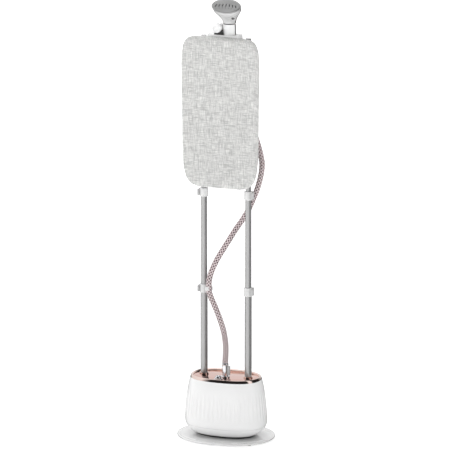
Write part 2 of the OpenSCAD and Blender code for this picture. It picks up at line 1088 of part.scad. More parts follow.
module lock_knob() {
    lip = 2;
    dish_r = knob_d / 2 - 5;
    dish_depth = 3;
    groove_r = 1.6;
    stem_end_y = tower_rear_y - 6;
    color(white)
        translate([knob_x, 0, knob_z])
            difference() {
                union() {
                    rod_y(knob_d / 2 - lip, knob_front_y, knob_back_y);
                    rod_y(knob_d / 2, knob_front_y + lip, knob_back_y - lip);
                    rod_y(knob_stem_r, knob_back_y - cut, stem_end_y);
                }
                rod_y(dish_r, knob_front_y - cut, knob_front_y + dish_depth);
                for (t = [0 : 30 : 330])
                    rotate([0, t, 0])
                        translate([knob_d / 2 + 0.6, 0, 0])
                            rod_y(groove_r, knob_front_y - cut, knob_back_y + cut);
            }
}

// ---- The board ----

module board_bracket() {
    sleeve_r = upper_r + bracket_wall;
    bar_t = 12;
    color(white)
        translate([0, 0, bracket_z])
            difference() {
                union() {
                    translate([-pole_x, -bar_t / 2, 0])
                        cube([pole_spacing, bar_t, bracket_h]);
                    for (x = [-pole_x, pole_x])
                        translate([x, 0, 0])
                            cylinder(r = sleeve_r, h = bracket_h);
                    for (x = [-arm_x, arm_x])
                        translate([x - arm_w / 2, board_back_y, 0])
                            cube([arm_w, -board_back_y, bracket_h]);
                }
                for (x = [-pole_x, pole_x])
                    translate([x, 0, -cut])
                        cylinder(r = upper_r, h = bracket_h + 2 * cut);
                for (x = [-arm_x, arm_x])
                    translate([x, 0, bracket_h / 2])
                        rod_y(bracket_screw_r, board_back_y - cut, bar_t);
            }
}

// Screws that hold the board to the bracket, from behind
module bracket_screws() {
    head_y = 6;
    head_r = 4.5;
    head_h = 3;
    color(chrome)
        for (x = [-arm_x, arm_x])
            translate([x, 0, bracket_z + bracket_h / 2]) {
                rod_y(bracket_screw_r, board_back_y + overlap, head_y);
                rod_y(head_r, head_y, head_y + head_h);
            }
}

module board_back() {
    color(light_grey)
        loft([board_ring(board_back_y, back_inset), board_ring(board_plate_y, back_inset)]);
}

module board_pad() {
    color(light_grey)
        loft([for (p = pad_profile) board_ring(p[0], p[1])]);
}

module board_cover() {
    color(linen)
        difference() {
            loft([for (p = cover_profile) board_ring(p[0], p[1])]);
            loft([for (p = cover_hollow) board_ring(p[0], p[1])]);
        }
}

// ---- The steam head ----

module handle_front() {
    color(white)
        loft([for (s = handle_sections) section(s, front_from, front_to)]);
}

module handle_grip() {
    color(dark)
        loft([for (s = handle_sections) section(s, rear_from, rear_to)]);
}

module neck_ring() {
    color(dark)
        loft([for (s = neck_sections) section(s, neck_from, neck_to)]);
}

module head_shell() {
    color(light_grey)
        difference() {
            loft([for (s = head_sections) section(s, front_from, front_to)]);
            translate([button_xz.x, 0, button_xz.y])
                rod_y(button_r + slip, -base_depth, button_back_y + button_room);
        }
}

module head_back() {
    color(dark)
        loft([for (s = head_sections) section(s, rear_from, rear_to)]);
}

module head_trim() {
    color(rose)
        loft([for (s = concat(handle_sections, head_sections)) trim_section(s)]);
}

module sole_band() {
    color(light_grey)
        loft([for (layer = band_layers) full_section(sole_section(layer))]);
}

module soleplate() {
    color([0.70, 0.70, 0.70])
        difference() {
            loft([for (layer = plate_layers) full_section(sole_section(layer))]);
            translate([head_x, sole_mid.y, sole_mid.x])
                rotate([sole_tilt, 0, 0])
                    for (i = [0 : vent_count - 1])
                        translate([
                            (i - (vent_count - 1) / 2) * vent_pitch - vent_w / 2,
                            -vent_l / 2,
                            -vent_depth
                        ])
                            cube([vent_w, vent_l, vent_depth + cut]);
        }
}

module steam_button() {
    color(dark)
        translate([button_xz.x, 0, button_xz.y])
            rod_y(button_r, button_front_y, button_back_y);
}

module hose_cuff() {
    color(dark)
        translate([head_x, handle_y, cuff_z])
            cylinder(r1 = hose_d / 2 + 1.5, r2 = cuff_top_r, h = cuff_top_z - cuff_z);
}

// ---- The steam hose, in three lengths that meet face to face ----

module hose_length(first, last) {
    color(braid)
        loft([for (i = [first : last]) hose_ring(i, i == first ? hose_gap : 0)]);
}

module hose_lower() {
    hose_length(0, hose_split_1);
}

module hose_middle() {
    hose_length(hose_split_1, hose_split_2);
}

module hose_top() {
    hose_length(hose_split_2, len(hose_route) - 1);
}

floor_plate();
floor_feet();
base_screws();
pedestal();
base_pan();
base_housing();
trim_ring();
top_panel();
pole_sockets();
panel_rings();
hose_outlet();
cord_gland();
boiler();
water_pump();
feed_pipes();
rotary_switch();
control_board();
lower_pole_left();
lower_pole_right();
lower_collars();
lower_pins();
hose_clip();
hose_lower();
lower_lever_left();
lower_lever_right();
upper_lever_left();
upper_lever_right();
control_dial();
hose_latch();
water_tank();
tank_valve();
tank_cap();
mid_pole_left();
mid_pole_right();
mid_end_plugs();
upper_collars();
upper_pins();
hose_middle();
upper_pole_left();
upper_pole_right();
upper_pole_ends();
top_bridge();
cradle_pad();
board_bracket();
bracket_screws();
board_back();
board_pad();
board_cover();
hose_top();
lock_knob();
handle_front();
handle_grip();
neck_ring();
head_shell();
head_back();
head_trim();
sole_band();
soleplate();
hose_cuff();
steam_button();
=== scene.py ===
import math

import bmesh
import bpy
import numpy as np
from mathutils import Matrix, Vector


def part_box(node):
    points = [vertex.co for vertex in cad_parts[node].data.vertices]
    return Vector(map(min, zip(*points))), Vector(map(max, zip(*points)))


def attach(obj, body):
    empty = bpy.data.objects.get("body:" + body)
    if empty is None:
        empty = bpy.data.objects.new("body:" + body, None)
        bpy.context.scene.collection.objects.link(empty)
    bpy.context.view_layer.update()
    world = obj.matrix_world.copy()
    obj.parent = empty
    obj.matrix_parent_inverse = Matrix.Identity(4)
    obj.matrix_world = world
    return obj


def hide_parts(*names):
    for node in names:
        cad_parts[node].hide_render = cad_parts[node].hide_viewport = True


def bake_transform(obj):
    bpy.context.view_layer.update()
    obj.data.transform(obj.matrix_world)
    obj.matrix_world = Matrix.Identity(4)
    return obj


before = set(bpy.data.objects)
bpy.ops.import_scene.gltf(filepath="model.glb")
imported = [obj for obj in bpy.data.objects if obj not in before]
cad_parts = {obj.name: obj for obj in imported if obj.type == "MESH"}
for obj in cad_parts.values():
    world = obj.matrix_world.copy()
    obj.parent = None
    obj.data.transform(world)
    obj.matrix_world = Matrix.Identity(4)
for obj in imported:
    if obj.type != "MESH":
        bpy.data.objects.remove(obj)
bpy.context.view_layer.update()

# The garment steamer's looks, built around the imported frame. New shapes are given in
# millimetres in the frame's axes: +Z is up, +X is to the right and the front faces -Y.

MM = 0.001
TURN = 2 * math.pi
WELD = 0.003
scene = bpy.context.scene


# ---- The camera ----

VIEW_AZIMUTH = math.radians(22)
VIEW_ELEVATION = math.radians(12.7)
VIEW_DISTANCE = 18.0
VIEW_TARGET = Vector((-0.0046, 0, 0.8118))
FRAME_WIDTH = 1.678
SENSOR_WIDTH = 36.0


def add_camera():
    back = Vector((
        math.sin(VIEW_AZIMUTH) * math.cos(VIEW_ELEVATION),
        -math.cos(VIEW_AZIMUTH) * math.cos(VIEW_ELEVATION),
        math.sin(VIEW_ELEVATION),
    ))
    data = bpy.data.cameras.new("camera")
    data.sensor_width = SENSOR_WIDTH
    data.lens = SENSOR_WIDTH * VIEW_DISTANCE / FRAME_WIDTH
    data.clip_end = 200
    camera = bpy.data.objects.new("camera", data)
    scene.collection.objects.link(camera)
    camera.location = VIEW_TARGET + VIEW_DISTANCE * back
    camera.rotation_euler = back.to_track_quat("Z", "Y").to_euler()
    scene.camera = camera


add_camera()


# ---- Shapes ----

def smoothstep(low, high, x):
    t = np.clip((np.asarray(x, float) - low) / (high - low), 0.0, 1.0)
    return t * t * (3 - 2 * t)


def spline(points, steps):
    """Points along a smooth curve through all the given ones, steps to a stretch."""
    p = np.array(points, float)
    p = np.vstack([2 * p[0] - p[1], p, 2 * p[-1] - p[-2]])
    t = (np.arange(steps) / steps)[:, None]
    curve = []
    for a, b, c, d in zip(p, p[1:], p[2:], p[3:]):
        square = (2 * a - 5 * b + 4 * c - d) * t ** 2
        cube = (3 * b - a - 3 * c + d) * t ** 3
        curve.append(0.5 * (2 * b + (c - a) * t + square + cube))
    curve.append(p[-2:-1])
    return np.vstack(curve)


def travelled(*axes):
    """The distance from the first point of a line to each of its points."""
    return np.concatenate([[0], np.cumsum(np.linalg.norm(np.diff(axes), axis=0))])


def unit(rows):
    return rows / np.linalg.norm(rows, axis=1)[:, None]


def columns(x, y, z):
    """Points from their coordinates, each an array or one number for all."""
    return np.column_stack(np.broadcast_arrays(x, y, z)).astype(float)


def skin(rings, caps=True, loop=False):
    """The points and faces of the surface through rings of equal length."""
    n = len(rings[0])
    faces = []
    for j in range(len(rings) if loop else len(rings) - 1):
        a, b = j * n, (j + 1) % len(rings) * n
        faces += [(a + i, a + (i + 1) % n, b + (i + 1) % n, b + i) for i in range(n)]
    if caps and not loop:
        last = (len(rings) - 1) * n
        faces += [tuple(range(n)), tuple(range(last, last + n))]
    return np.vstack(rings), faces


def shade(mesh, sharp=40):
    """Smooth shading, apart from the edges that bend more than sharp degrees."""
    mesh.shade_smooth()
    mesh.set_sharp_from_angle(angle=math.radians(sharp))


def build(name, points, faces, sharp=40):
    """A new object from points in millimetres."""
    mesh = bpy.data.meshes.new(name)
    mesh.from_pydata((np.asarray(points, float) * MM).tolist(), [], faces)
    work = bmesh.new()
    work.from_mesh(mesh)
    bmesh.ops.remove_doubles(work, verts=work.verts, dist=WELD * MM)
    bmesh.ops.recalc_face_normals(work, faces=work.faces)
    work.to_mesh(mesh)
    work.free()
    shade(mesh, sharp)
    piece = bpy.data.objects.new(name, mesh)
    scene.collection.objects.link(piece)
    return piece


def turned(name, profile, centre, along="Z", steps=96, loop=False, ribs=None, sharp=40):
    """A turned piece about an axis along Z or Y through centre. profile is its radii and
    heights, and ribs(angle, radius) changes the radius around it."""
    angle = np.linspace(0, TURN, steps, endpoint=False)
    rings = []
    for radius, height in profile:
        r = ribs(angle, radius) if ribs else radius
        across, up = centre[0] + r * np.cos(angle), centre[1] + r * np.sin(angle)
        rings.append(columns(across, up, height) if along == "Z" else columns(across, height, up))
    return build(name, *skin(rings, loop=loop), sharp=sharp)


def block(name, low, high):
    """A plain box, as a cutter or as a start for other shapes."""
    x, y, z = zip(low, high)
    rings = [columns([x[0], x[1], x[1], x[0]], [y[0], y[0], y[1], y[1]], level) for level in z]
    return build(name, *skin(rings))


def modify(piece, kind, **settings):
    modifier = piece.modifiers.new(kind.lower(), kind)
    for setting, value in settings.items():
        setattr(modifier, setting, value)
    return piece


def settle(piece):
    """Makes a piece's modifiers part of its mesh."""
    bpy.context.view_layer.update()
    depsgraph = bpy.context.evaluated_depsgraph_get()
    mesh = bpy.data.meshes.new_from_object(piece.evaluated_get(depsgraph))
    piece.modifiers.clear()
    piece.data = mesh
    return piece


def combine(piece, others, operation="DIFFERENCE", sharp=40):
    """Cuts the others out of a piece, or joins or intersects it with them."""
    for other in others:
        modify(piece, "BOOLEAN", operation=operation, solver="EXACT", object=other)
    settle(piece)
    for other in others:
        bpy.data.objects.remove(other)
    shade(piece.data, sharp)
    return piece


def clip(piece, low, high):
    """Keeps what a box holds of a piece."""
    combine(piece, [block("box", low, high)], "INTERSECT")


def round_edges(piece, width=0.5, segments=2, angle=32):
    return modify(
        piece, "BEVEL", width=width * MM, segments=segments, limit_method="ANGLE",
        angle_limit=math.radians(angle), harden_normals=True,
    )


def box_mm(node):
    low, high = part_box(node)
    return np.array(low) / MM, np.array(high) / MM


def place(piece, body, slot, material, *nodes):
    """Gives a piece its material and its body, and hides the CAD nodes it stands for. slot is not
    used.
    """
    piece.data.materials.clear()
    piece.data.materials.append(material)
    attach(piece, body)
    if nodes:
        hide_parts(*nodes)
    return piece


# ---- Materials ----

class Nodes:
    """The node tree of a material or the world, with short calls for the nodes used here."""

    def __init__(self, owner):
        owner.use_nodes = True
        self.tree = owner.node_tree

    def node(self, kind, inputs=None, **settings):
        new = self.tree.nodes.new("ShaderNode" + kind)
        for key, value in settings.items():
            setattr(new, key, value)
        for socket, value in (inputs or {}).items():
            if isinstance(value, bpy.types.NodeSocket):
                self.tree.links.new(value, new.inputs[socket])
            else:
                new.inputs[socket].default_value = value
        return new

    def math(self, operation, a, b=0.0):
        return self.node("Math", {0: a, 1: b}, operation=operation).outputs[0]

    def span(self, value, low, high, start=0.25, end=0.75):
        """value from start to end, as a number from low to high."""
        inputs = {"Value": value, "From Min": start, "From Max": end, "To Min": low, "To Max": high}
        return self.node("MapRange", inputs).outputs[0]

    def mix(self, factor, a, b):
        return self.node("Mix", {0: factor, 6: a, 7: b}, data_type="RGBA").outputs[2]


class Graph(Nodes):
    """A new material's nodes. Sizes are in millimetres."""

    def __init__(self, name, **sockets):
        self.material = bpy.data.materials.new(name)
        super().__init__(self.material)
        self.shader = self.tree.nodes["Principled BSDF"]
        for socket, value in sockets.items():
            self.shader.inputs[socket.replace("_", " ")].default_value = value
        self.place = self.node("TexCoord").outputs["Object"]

    def noise(self, size, detail=2.0, stretch=(1, 1, 1), place=None):
        """Noise whose features are about size across, drawn out along each axis by stretch."""
        scale = [1 / (size * MM * s) for s in stretch]
        vector = self.node("Mapping", {"Vector": place or self.place, "Scale": scale})
        inputs = {"Vector": vector.outputs[0], "Scale": 1.0, "Detail": detail}
        return self.node("TexNoise", inputs).outputs["Fac"]

    def bump(self, height, distance, normal=None, strength=1.0):
        inputs = {"Height": height, "Distance": distance * MM, "Strength": strength}
        if normal:
            inputs["Normal"] = normal
        return self.node("Bump", inputs).outputs[0]

    def finish(self, **values):
        """Links values to the shader's sockets and gives the finished material."""
        for socket, value in values.items():
            self.tree.links.new(value, self.shader.inputs[socket.replace("_", " ")])
        return self.material


def rgba(colour, gain=1.0):
    values = [colour] * 3 if isinstance(colour, (int, float)) else colour
    return (*[min(1.0, v * gain) for v in values], 1.0)


def moulded(name, colour, roughness, drift=0.02, grain=0.01, grain_size=0.7, **sockets):
    """Moulded plastic or rubber: a slight drift of colour, worn patches and a fine grain."""
    g = Graph(name, **sockets)
    return g.finish(
        Base_Color=g.mix(g.noise(70), rgba(colour, 1 - drift), rgba(colour, 1 + drift)),
        Roughness=g.span(g.noise(14, detail=5), roughness * 0.8, roughness * 1.25),
        Normal=g.bump(g.noise(grain_size, detail=3), grain),
    )


def brushed(name, colours, roughness, patch, line, stretch=(1, 1, 1), grain=0.004, **sockets):
    """Metal between two colours in patches, with fine lines drawn out along an axis by stretch,
    which are between two roughnesses. patch and line are sizes."""
    g = Graph(name, **sockets)
    lines = g.noise(line, detail=3, stretch=stretch)
    return g.finish(
        Base_Color=g.mix(g.noise(patch), *(rgba(c) for c in colours)),
        Roughness=g.span(lines, *roughness), Normal=g.bump(lines, grain),
    )


def metal(name, colour, roughness, drift=0.04, grain=0.004):
    """Bare or plated metal with a slight drift of colour and fine scratches."""
    colours = [rgba(colour, gain)[:3] for gain in (1 - drift, 1 + drift)]
    span = (roughness * 0.75, roughness * 1.3)
    return brushed(name, colours, span, 40, 0.5, grain=grain, Metallic=1.0)


PLATE_WHITE = moulded(
    "plate white", 0.80, 0.06, drift=0.012, grain=0.002, grain_size=6, Coat_Weight=1.0,
    Coat_Roughness=0.03,
)
GLOSS_WHITE = moulded("gloss white", 0.90, 0.10, drift=0.012, grain=0.004, grain_size=4)
BRIDGE_WHITE = moulded("bridge white", 0.93, 0.16, drift=0.012, grain=0.005, grain_size=3)
CLAMP_WHITE = moulded("clamp white", 0.74, 0.26, grain=0.012)
LEVER_GREY = moulded("lever grey", 0.56, 0.3, grain=0.012)
BOARD_PLASTIC = moulded("board plastic", 0.52, 0.42, grain=0.04, grain_size=0.9)
DARK_PLASTIC = moulded("dark plastic", 0.017, 0.34, drift=0.1, grain=0.03, grain_size=0.8)
DARK_RUBBER = moulded("dark rubber", 0.035, 0.62, drift=0.15, grain=0.05, grain_size=0.9)
BUTTON_GREY = moulded("button grey", 0.12, 0.35, grain=0.01)
HEAD_SILVER = moulded("head silver", 0.62, 0.22, grain=0.006, grain_size=0.4, Metallic=0.25)
ROSE_PANEL = metal("rose panel", (0.79, 0.52, 0.46), 0.05, drift=0.02, grain=0.0006)
ROSE_TRIM = metal("rose trim", (0.88, 0.72, 0.66), 0.05, drift=0.02, grain=0.0006)
CHROME = metal("chrome", (0.86, 0.86, 0.88), 0.05, drift=0.015, grain=0.0006)
STEEL = metal("steel", 0.55, 0.25)
COPPER = metal("copper", (0.72, 0.40, 0.26), 0.28, drift=0.12)
BOILER_METAL = metal("boiler metal", 0.48, 0.42, drift=0.1, grain=0.02)


def tank_material():
    """Smoky, half-clear plastic."""
    g = Graph("tank smoke", Transmission_Weight=0.45, IOR=1.46)
    return g.finish(
        Base_Color=g.mix(g.noise(50), rgba((0.60, 0.62, 0.64)), rgba((0.66, 0.68, 0.70))),
        Roughness=g.span(g.noise(12, detail=4), 0.16, 0.26), Normal=g.bump(g.noise(3), 0.006),
    )


def circuit_material():
    """A green board with lighter tracks and small dark parts."""
    g = Graph("circuit green")
    cells = {"Vector": g.place, "Scale": 160.0}
    tracks = g.node("TexVoronoi", cells, feature="DISTANCE_TO_EDGE").outputs["Distance"]
    between = g.span(tracks, 0, 1, 0.04, 0.07)
    green = g.mix(between, rgba((0.08, 0.30, 0.12)), rgba((0.01, 0.09, 0.04)))
    parts = g.span(g.noise(8, detail=0), 0, 1, 0.62, 0.64)
    return g.finish(
        Base_Color=g.mix(parts, green, rgba(0.02)), Roughness=g.span(parts, 0.25, 0.5, 0, 1),
        Normal=g.bump(parts, 1.2),
    )


LINEN_LIGHT = (0.83, 0.83, 0.81)
LINEN_DARK = (0.42, 0.42, 0.415)
THREAD_PITCH = 1.1


def linen_material():
    """A plain weave with slubs: pale threads of uneven thickness and shade both ways. The
    threads follow the cover round its edges, because depth is added to both directions."""
    g = Graph("linen", Sheen_Weight=0.15, Sheen_Roughness=0.5, Roughness=0.85)
    axes = g.node("SeparateXYZ", {0: g.place})
    across = g.math("ADD", axes.outputs[0], g.math("MULTIPLY", axes.outputs[1], 0.9))
    up = g.math("ADD", axes.outputs[2], g.math("MULTIPLY", axes.outputs[1], 0.8))
    flat = g.node("CombineXYZ", {0: across, 1: 0.0, 2: up}).outputs[0]
    streaks = []
    for size, weight in ((1.5, 0.6), (3.4, 0.4)):
        warp = g.noise(size, detail=2, stretch=(1, 1, 16), place=flat)
        weft = g.noise(size, detail=2, stretch=(16, 1, 1), place=flat)
        even = g.math("MULTIPLY", g.math("ADD", warp, weft), 0.25)
        bold = g.math("MULTIPLY", g.math("MAXIMUM", warp, weft), 0.5)
        streaks.append(g.math("MULTIPLY", g.math("ADD", even, bold), weight))
    slub = g.math("ADD", *streaks)
    heights = []
    for direction in (across, up):
        phase = g.math("MULTIPLY", direction, math.pi / (THREAD_PITCH * MM))
        heights.append(g.math("ABSOLUTE", g.math("SINE", phase)))
    weave = g.math("MULTIPLY", *heights)
    shadow = g.span(weave, 0.16, 0.0, 0.0, 0.5)
    tone = g.math("ADD", g.span(slub, 0.0, 1.0, 0.45, 0.60), shadow)
    patch = g.span(g.noise(45, place=flat), -0.08, 0.08)
    colour = g.mix(g.math("ADD", tone, patch), rgba(LINEN_LIGHT), rgba(LINEN_DARK))
    normal = g.bump(weave, 0.22, normal=g.bump(slub, 0.35))
    return g.finish(Base_Color=colour, Normal=normal)


BRAID_DARK = (0.125, 0.070, 0.082)
BRAID_LIGHT = (0.90, 0.79, 0.79)
BRAID_SHADOW = (0.05, 0.03, 0.034)
DIAMONDS_ROUND = 5
DIAMOND_LENGTH = 12.5
THREADS = 6
STRAND_EDGE = (0.38, 0.54)


def braid_material():
    """Pale strands that cross over a darker ground and leave diamonds of it. The UV map runs
    once round the hose and once for each diamond's length along it."""
    g = Graph("hose braid", Sheen_Weight=0.2, Sheen_Roughness=0.4)
    axes = g.node("SeparateXYZ", {0: g.node("TexCoord").outputs["UV"]})
    turn = g.math("MULTIPLY", axes.outputs[0], float(DIAMONDS_ROUND))
    threads, inside = [], []
    for operation in ("ADD", "SUBTRACT"):
        place = g.math(operation, turn, axes.outputs[1])
        threads.append(g.math("SINE", g.math("MULTIPLY", place, TURN * THREADS)))
        inside.append(g.math("ABSOLUTE", g.math("SINE", g.math("MULTIPLY", place, math.pi))))
    strand = g.span(g.math("MINIMUM", *inside), 1.0, 0.0, *STRAND_EDGE)
    weave = g.math("MULTIPLY", *threads)
    # Painted shade: where the threads dip under each other, the colour is darkened towards
    # BRAID_SHADOW, more in some patches than in others. The same noise also darkens the strands a
    # little in patches.
    hollows = g.span(weave, 0.78, 1.0, -1.0, 0.5)
    shade_and_wear = g.span(g.noise(5, detail=3), 0.88, 1.08)
    colour = g.mix(strand, rgba(BRAID_DARK), rgba(BRAID_LIGHT))
    colour = g.mix(g.math("MULTIPLY", hollows, shade_and_wear), rgba(BRAID_SHADOW), colour)
    return g.finish(
        Base_Color=colour, Roughness=g.span(g.noise(2), 0.5, 0.7), Normal=g.bump(weave, 0.12)
    )


# Drawn and anodised tube, and a satin plate with its lines across
POLE = brushed(
    "pole aluminium", (0.46, 0.50), (0.16, 0.26), 60, 0.35, (1, 1, 160),
    Metallic=0.6, Anisotropic=0.5,
)
SOLE = brushed(
    "soleplate", (0.56, 0.62), (0.3, 0.46), 16, 0.4, (60, 1, 1), 0.006,
    Metallic=0.85, Anisotropic=0.3,
)
TANK = tank_material()
CIRCUIT = circuit_material()
LINEN = linen_material()
BRAID = braid_material()


# ---- The steam hose ----

# The hose's centreline, from the outlet on the base to the cuff under the head
HOSE_ROUTE = (np.array([
    (4, -20, 288), (6, -20, 320), (6, -20, 356), (1, -20, 394), (-9, -20, 431), (-23, -20, 468),
    (-39, -20, 505), (-53, -20, 534), (-61, -20, 560), (-62, -19, 587), (-58, -16, 616),
    (-48, -11, 647), (-33, -5, 681), (-12, 3, 719), (9, 13, 757), (32, 22, 797), (53, 30, 830),
    (71, 34, 861), (86, 36, 893), (99, 38, 924), (111, 38, 956), (121, 38, 991), (128, 36, 1023),
    (130, 34, 1054), (125, 32, 1086), (114, 31, 1125), (99, 31, 1170), (83, 31, 1215),
    (67, 30, 1262), (51, 23, 1310), (39, 12, 1342), (28.5, 0.5, 1375), (21, -8.5, 1408),
    (18, -12, 1440),
]) / 1000).tolist()
HOSE_DIAMETER = 0.022
# Each length: node, first and last point of the route, its two bodies, its length in metres
HOSE_LENGTHS = [
    ("hose_lower", 0, 18, "base", "mid_poles", 0.659),
    ("hose_middle", 18, 29, "mid_poles", "top_frame", 0.437),
    ("hose_top", 29, 33, "top_frame", "head", 0.140),
]
HOSE_STEPS = 24
HOSE_SIDES = 12 * DIAMONDS_ROUND
BRAID_RELIEF = 0.45 * MM


def hose_frames():
    """The hose's ring centres, and two directions across it that don't twist."""
    centres = spline(HOSE_ROUTE, HOSE_STEPS)
    way = np.gradient(centres, axis=0)
    way[0] = way[-1] = (0, 0, 1)
    way = unit(way)
    first = [np.array([1.0, 0.0, 0.0])]
    for w in way[1:]:
        side = first[-1] - np.dot(first[-1], w) * w
        first.append(side / np.linalg.norm(side))
    first = np.array(first)
    return centres, first, np.cross(way, first)


def braid_height(turn, diamonds):
    """How far the braid stands up, from 0 between its strands to 1 on top of them."""
    one = np.sin(math.pi * (turn * DIAMONDS_ROUND + diamonds))
    other = np.sin(math.pi * (turn * DIAMONDS_ROUND - diamonds))
    return 1 - np.sqrt(np.abs(one * other))


def add_hose():
    centres, first, second = hose_frames()
    diamonds = travelled(*centres.T) / (DIAMOND_LENGTH * MM)
    turn = np.arange(HOSE_SIDES) / HOSE_SIDES
    cos, sin = np.cos(TURN * turn)[:, None], np.sin(TURN * turn)[:, None]
    for name, start, end, lower_body, upper_body, length in HOSE_LENGTHS:
        span = range(start * HOSE_STEPS, end * HOSE_STEPS + 1)
        rings = []
        for i in span:
            r = HOSE_DIAMETER / 2 - BRAID_RELIEF * (1 - braid_height(turn, diamonds[i]))
            rings.append((centres[i] + r[:, None] * (cos * first[i] + sin * second[i])) / MM)
        hose = build("braided_" + name, *skin(rings), sharp=60)
        paint_hose(hose, diamonds[span.start:span.stop])
        hose.data.materials.append(BRAID)
        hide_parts(name)
        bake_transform(hose)


def paint_hose(hose, diamonds):
    """The braid's UV map. The quads come in rings, in the order that skin makes them."""
    layer = hose.data.uv_layers.new(name="braid")
    for polygon in hose.data.polygons:
        if len(polygon.vertices) != 4:
            continue
        closes = polygon.index % HOSE_SIDES == HOSE_SIDES - 1
        for loop in polygon.loop_indices:
            ring, side = divmod(hose.data.loops[loop].vertex_index, HOSE_SIDES)
            around = HOSE_SIDES if closes and side == 0 else side
            layer.data[loop].uv = (around / HOSE_SIDES, diamonds[ring])


add_hose()


# ---- The base ----

OVAL_POWER = 2.4
PLATE_POWER = 2.1
HOUSING_LOW, HOUSING_HIGH = box_mm("base_housing")
BASE_A = HOUSING_HIGH[0]
BASE_B = -HOUSING_LOW[1]
WALL = 3.0
# Outlines as height and share of the housing's full width
PAN_PROFILE = [(18, 0.790), (24, 0.854), (34, 0.924), (44, 0.965), (48, 0.975)]
HOUSING_PROFILE = [
    (48.4, 0.976), (56, 0.991), (67, 1.0), (82, 0.999), (110, 0.987),
    (150, 0.962), (195, 0.917), (226, 0.869),
]
RIM_SHARE = HOUSING_PROFILE[-1][1]
FLUTES = 48
COLUMNS_PER_FLUTE = 8
FLUTE_DEPTH = 2.3
FLUTE_FADE_IN = (66, 104)
FLUTE_FADE_OUT = (150, 196)
FLUTE_REAR_FADE = (20, 60)
PAN_FLOOR = 21
POLE_LOW, POLE_HIGH = box_mm("lower_pole_left")
POLE_X = -POLE_LOW[0] - POLE_HIGH[1]


def oval_xy(a, b, power, turns):
    c, s = np.cos(turns), np.sin(turns)
    return (a * np.sign(c) * np.abs(c) ** (2 / power), b * np.sign(s) * np.abs(s) ** (2 / power))


def even_turns(a, b, power, count):
    """Angles whose points lie evenly round an oval, the first at its front."""
    fine = np.linspace(-TURN / 4, TURN * 3 / 4, 20001)
    x, y = oval_xy(a, b, power, fine)
    along = travelled(x, y)
    return np.interp(np.linspace(0, along[-1], count, endpoint=False), along, fine)


def oval_ring(a, b, z, turns, power=OVAL_POWER):
    return columns(*oval_xy(a, b, power, turns), z)


BASE_TURNS = even_turns(BASE_A, BASE_B, OVAL_POWER, FLUTES * COLUMNS_PER_FLUTE)
PLAIN_TURNS = BASE_TURNS[::2]


def base_ring(z, share, inset=0.0, turns=PLAIN_TURNS):
    return oval_ring(BASE_A * share - inset, BASE_B * share - inset, z, turns)


def add_floor_plate():
    a, b = box_mm("floor_plate")[1][:2]
    # As inset from the plate's edge and height, with a shallow groove inside the rim
    profile = [
        (4, 2), (1.2, 2.5), (0, 4.2), (0.2, 6.2), (1.2, 8.0), (3, 8.9), (4.6, 9), (8.4, 9),
        (8.9, 8.4), (10.6, 8.4), (11.1, 9), (24, 9),
    ]
    turns = even_turns(a, b, PLATE_POWER, 240)
    rings = [oval_ring(a - inset, b - inset, z, turns, PLATE_POWER) for inset, z in profile]
    plate = build("oval_floor_plate", *skin(rings), sharp=50)
    place(plate, "base", "gloss_white", PLATE_WHITE, "floor_plate")


def add_pan():
    outer = [base_ring(z, share) for z, share in spline(PAN_PROFILE, 6)]
    bottom = base_ring(PAN_PROFILE[0][0], PAN_PROFILE[0][1], 5)
    rim_z, rim_share = PAN_PROFILE[-1]
    rim = [base_ring(rim_z, rim_share, 0.7), base_ring(rim_z, rim_share, WALL)]
    down = spline(PAN_PROFILE, 6)[::-1]
    inner = [base_ring(z, share, WALL) for z, share in down if z > PAN_FLOOR]
    floor = base_ring(PAN_FLOOR, np.interp(PAN_FLOOR, *zip(*PAN_PROFILE)), WALL)
    outer[-1] = base_ring(rim_z - 0.7, rim_share - 0.001)
    pan = build("pan", *skin([bottom, *outer, *rim, *inner, floor]))
    low, high = box_mm("cord_gland")
    boss_r, boss_end, post_floor = (high[0] - low[0]) / 2 + 1.5, low[1] + 10, PAN_FLOOR - 1
    boiler_base, socket_base = box_mm("boiler")[0][2], box_mm("pole_sockets")[0][2]
    gland_z = (low[2] + high[2]) / 2
    posts = [
        turned("post", [(22, post_floor), (22, boiler_base)], middle_of("boiler")[:2]),
        turned("post", [(boss_r, 90), (boss_r, boss_end)], (0, gland_z), along="Y"),
    ]
    for side in (-1, 1):
        posts.append(turned("post", [(18, post_floor), (18, socket_base)], (side * POLE_X, 0)))
    combine(pan, posts, "UNION")
    bore_r, seat_r = 5.6, 8
    hole = [(bore_r, 50), (bore_r, boss_end - 0.1), (seat_r, boss_end), (seat_r, 120)]
    combine(pan, [turned("gland hole", hole, (0, gland_z), along="Y")])
    place(pan, "base", "gloss_white", GLOSS_WHITE, "base_pan")


def add_housing():
    heights, shares = spline(HOUSING_PROFILE, 8).T
    wave = 0.5 - 0.5 * np.cos(TURN * np.arange(len(BASE_TURNS)) / COLUMNS_PER_FLUTE)
    rings = [base_ring(heights[0], shares[0], 0.9, BASE_TURNS)]
    for z, share in zip(heights, shares):
        z = max(z, heights[0] + 0.6)
        ring = base_ring(z, share, 0, BASE_TURNS)
        fade = smoothstep(*FLUTE_FADE_IN, z) * (1 - smoothstep(*FLUTE_FADE_OUT, z))
        depth = FLUTE_DEPTH * wave * fade * (1 - smoothstep(*FLUTE_REAR_FADE, ring[:, 1]))
        ring[:, :2] *= (1 - depth / np.linalg.norm(ring[:, :2], axis=1))[:, None]
        rings.append(ring)
    rings.append(base_ring(heights[-1] + 0.1, shares[-1], 0.7, BASE_TURNS))
    housing = build("housing", *skin(rings, caps=False))
    low, high = box_mm("water_tank")
    cut_window(housing, high[0] + 1, low[2] - 1, high[2] + 1)
    settle(modify(housing, "SOLIDIFY", thickness=WALL * MM, offset=-1))
    shade(housing.data)
    place(housing, "base", "gloss_white", GLOSS_WHITE, "base_housing")


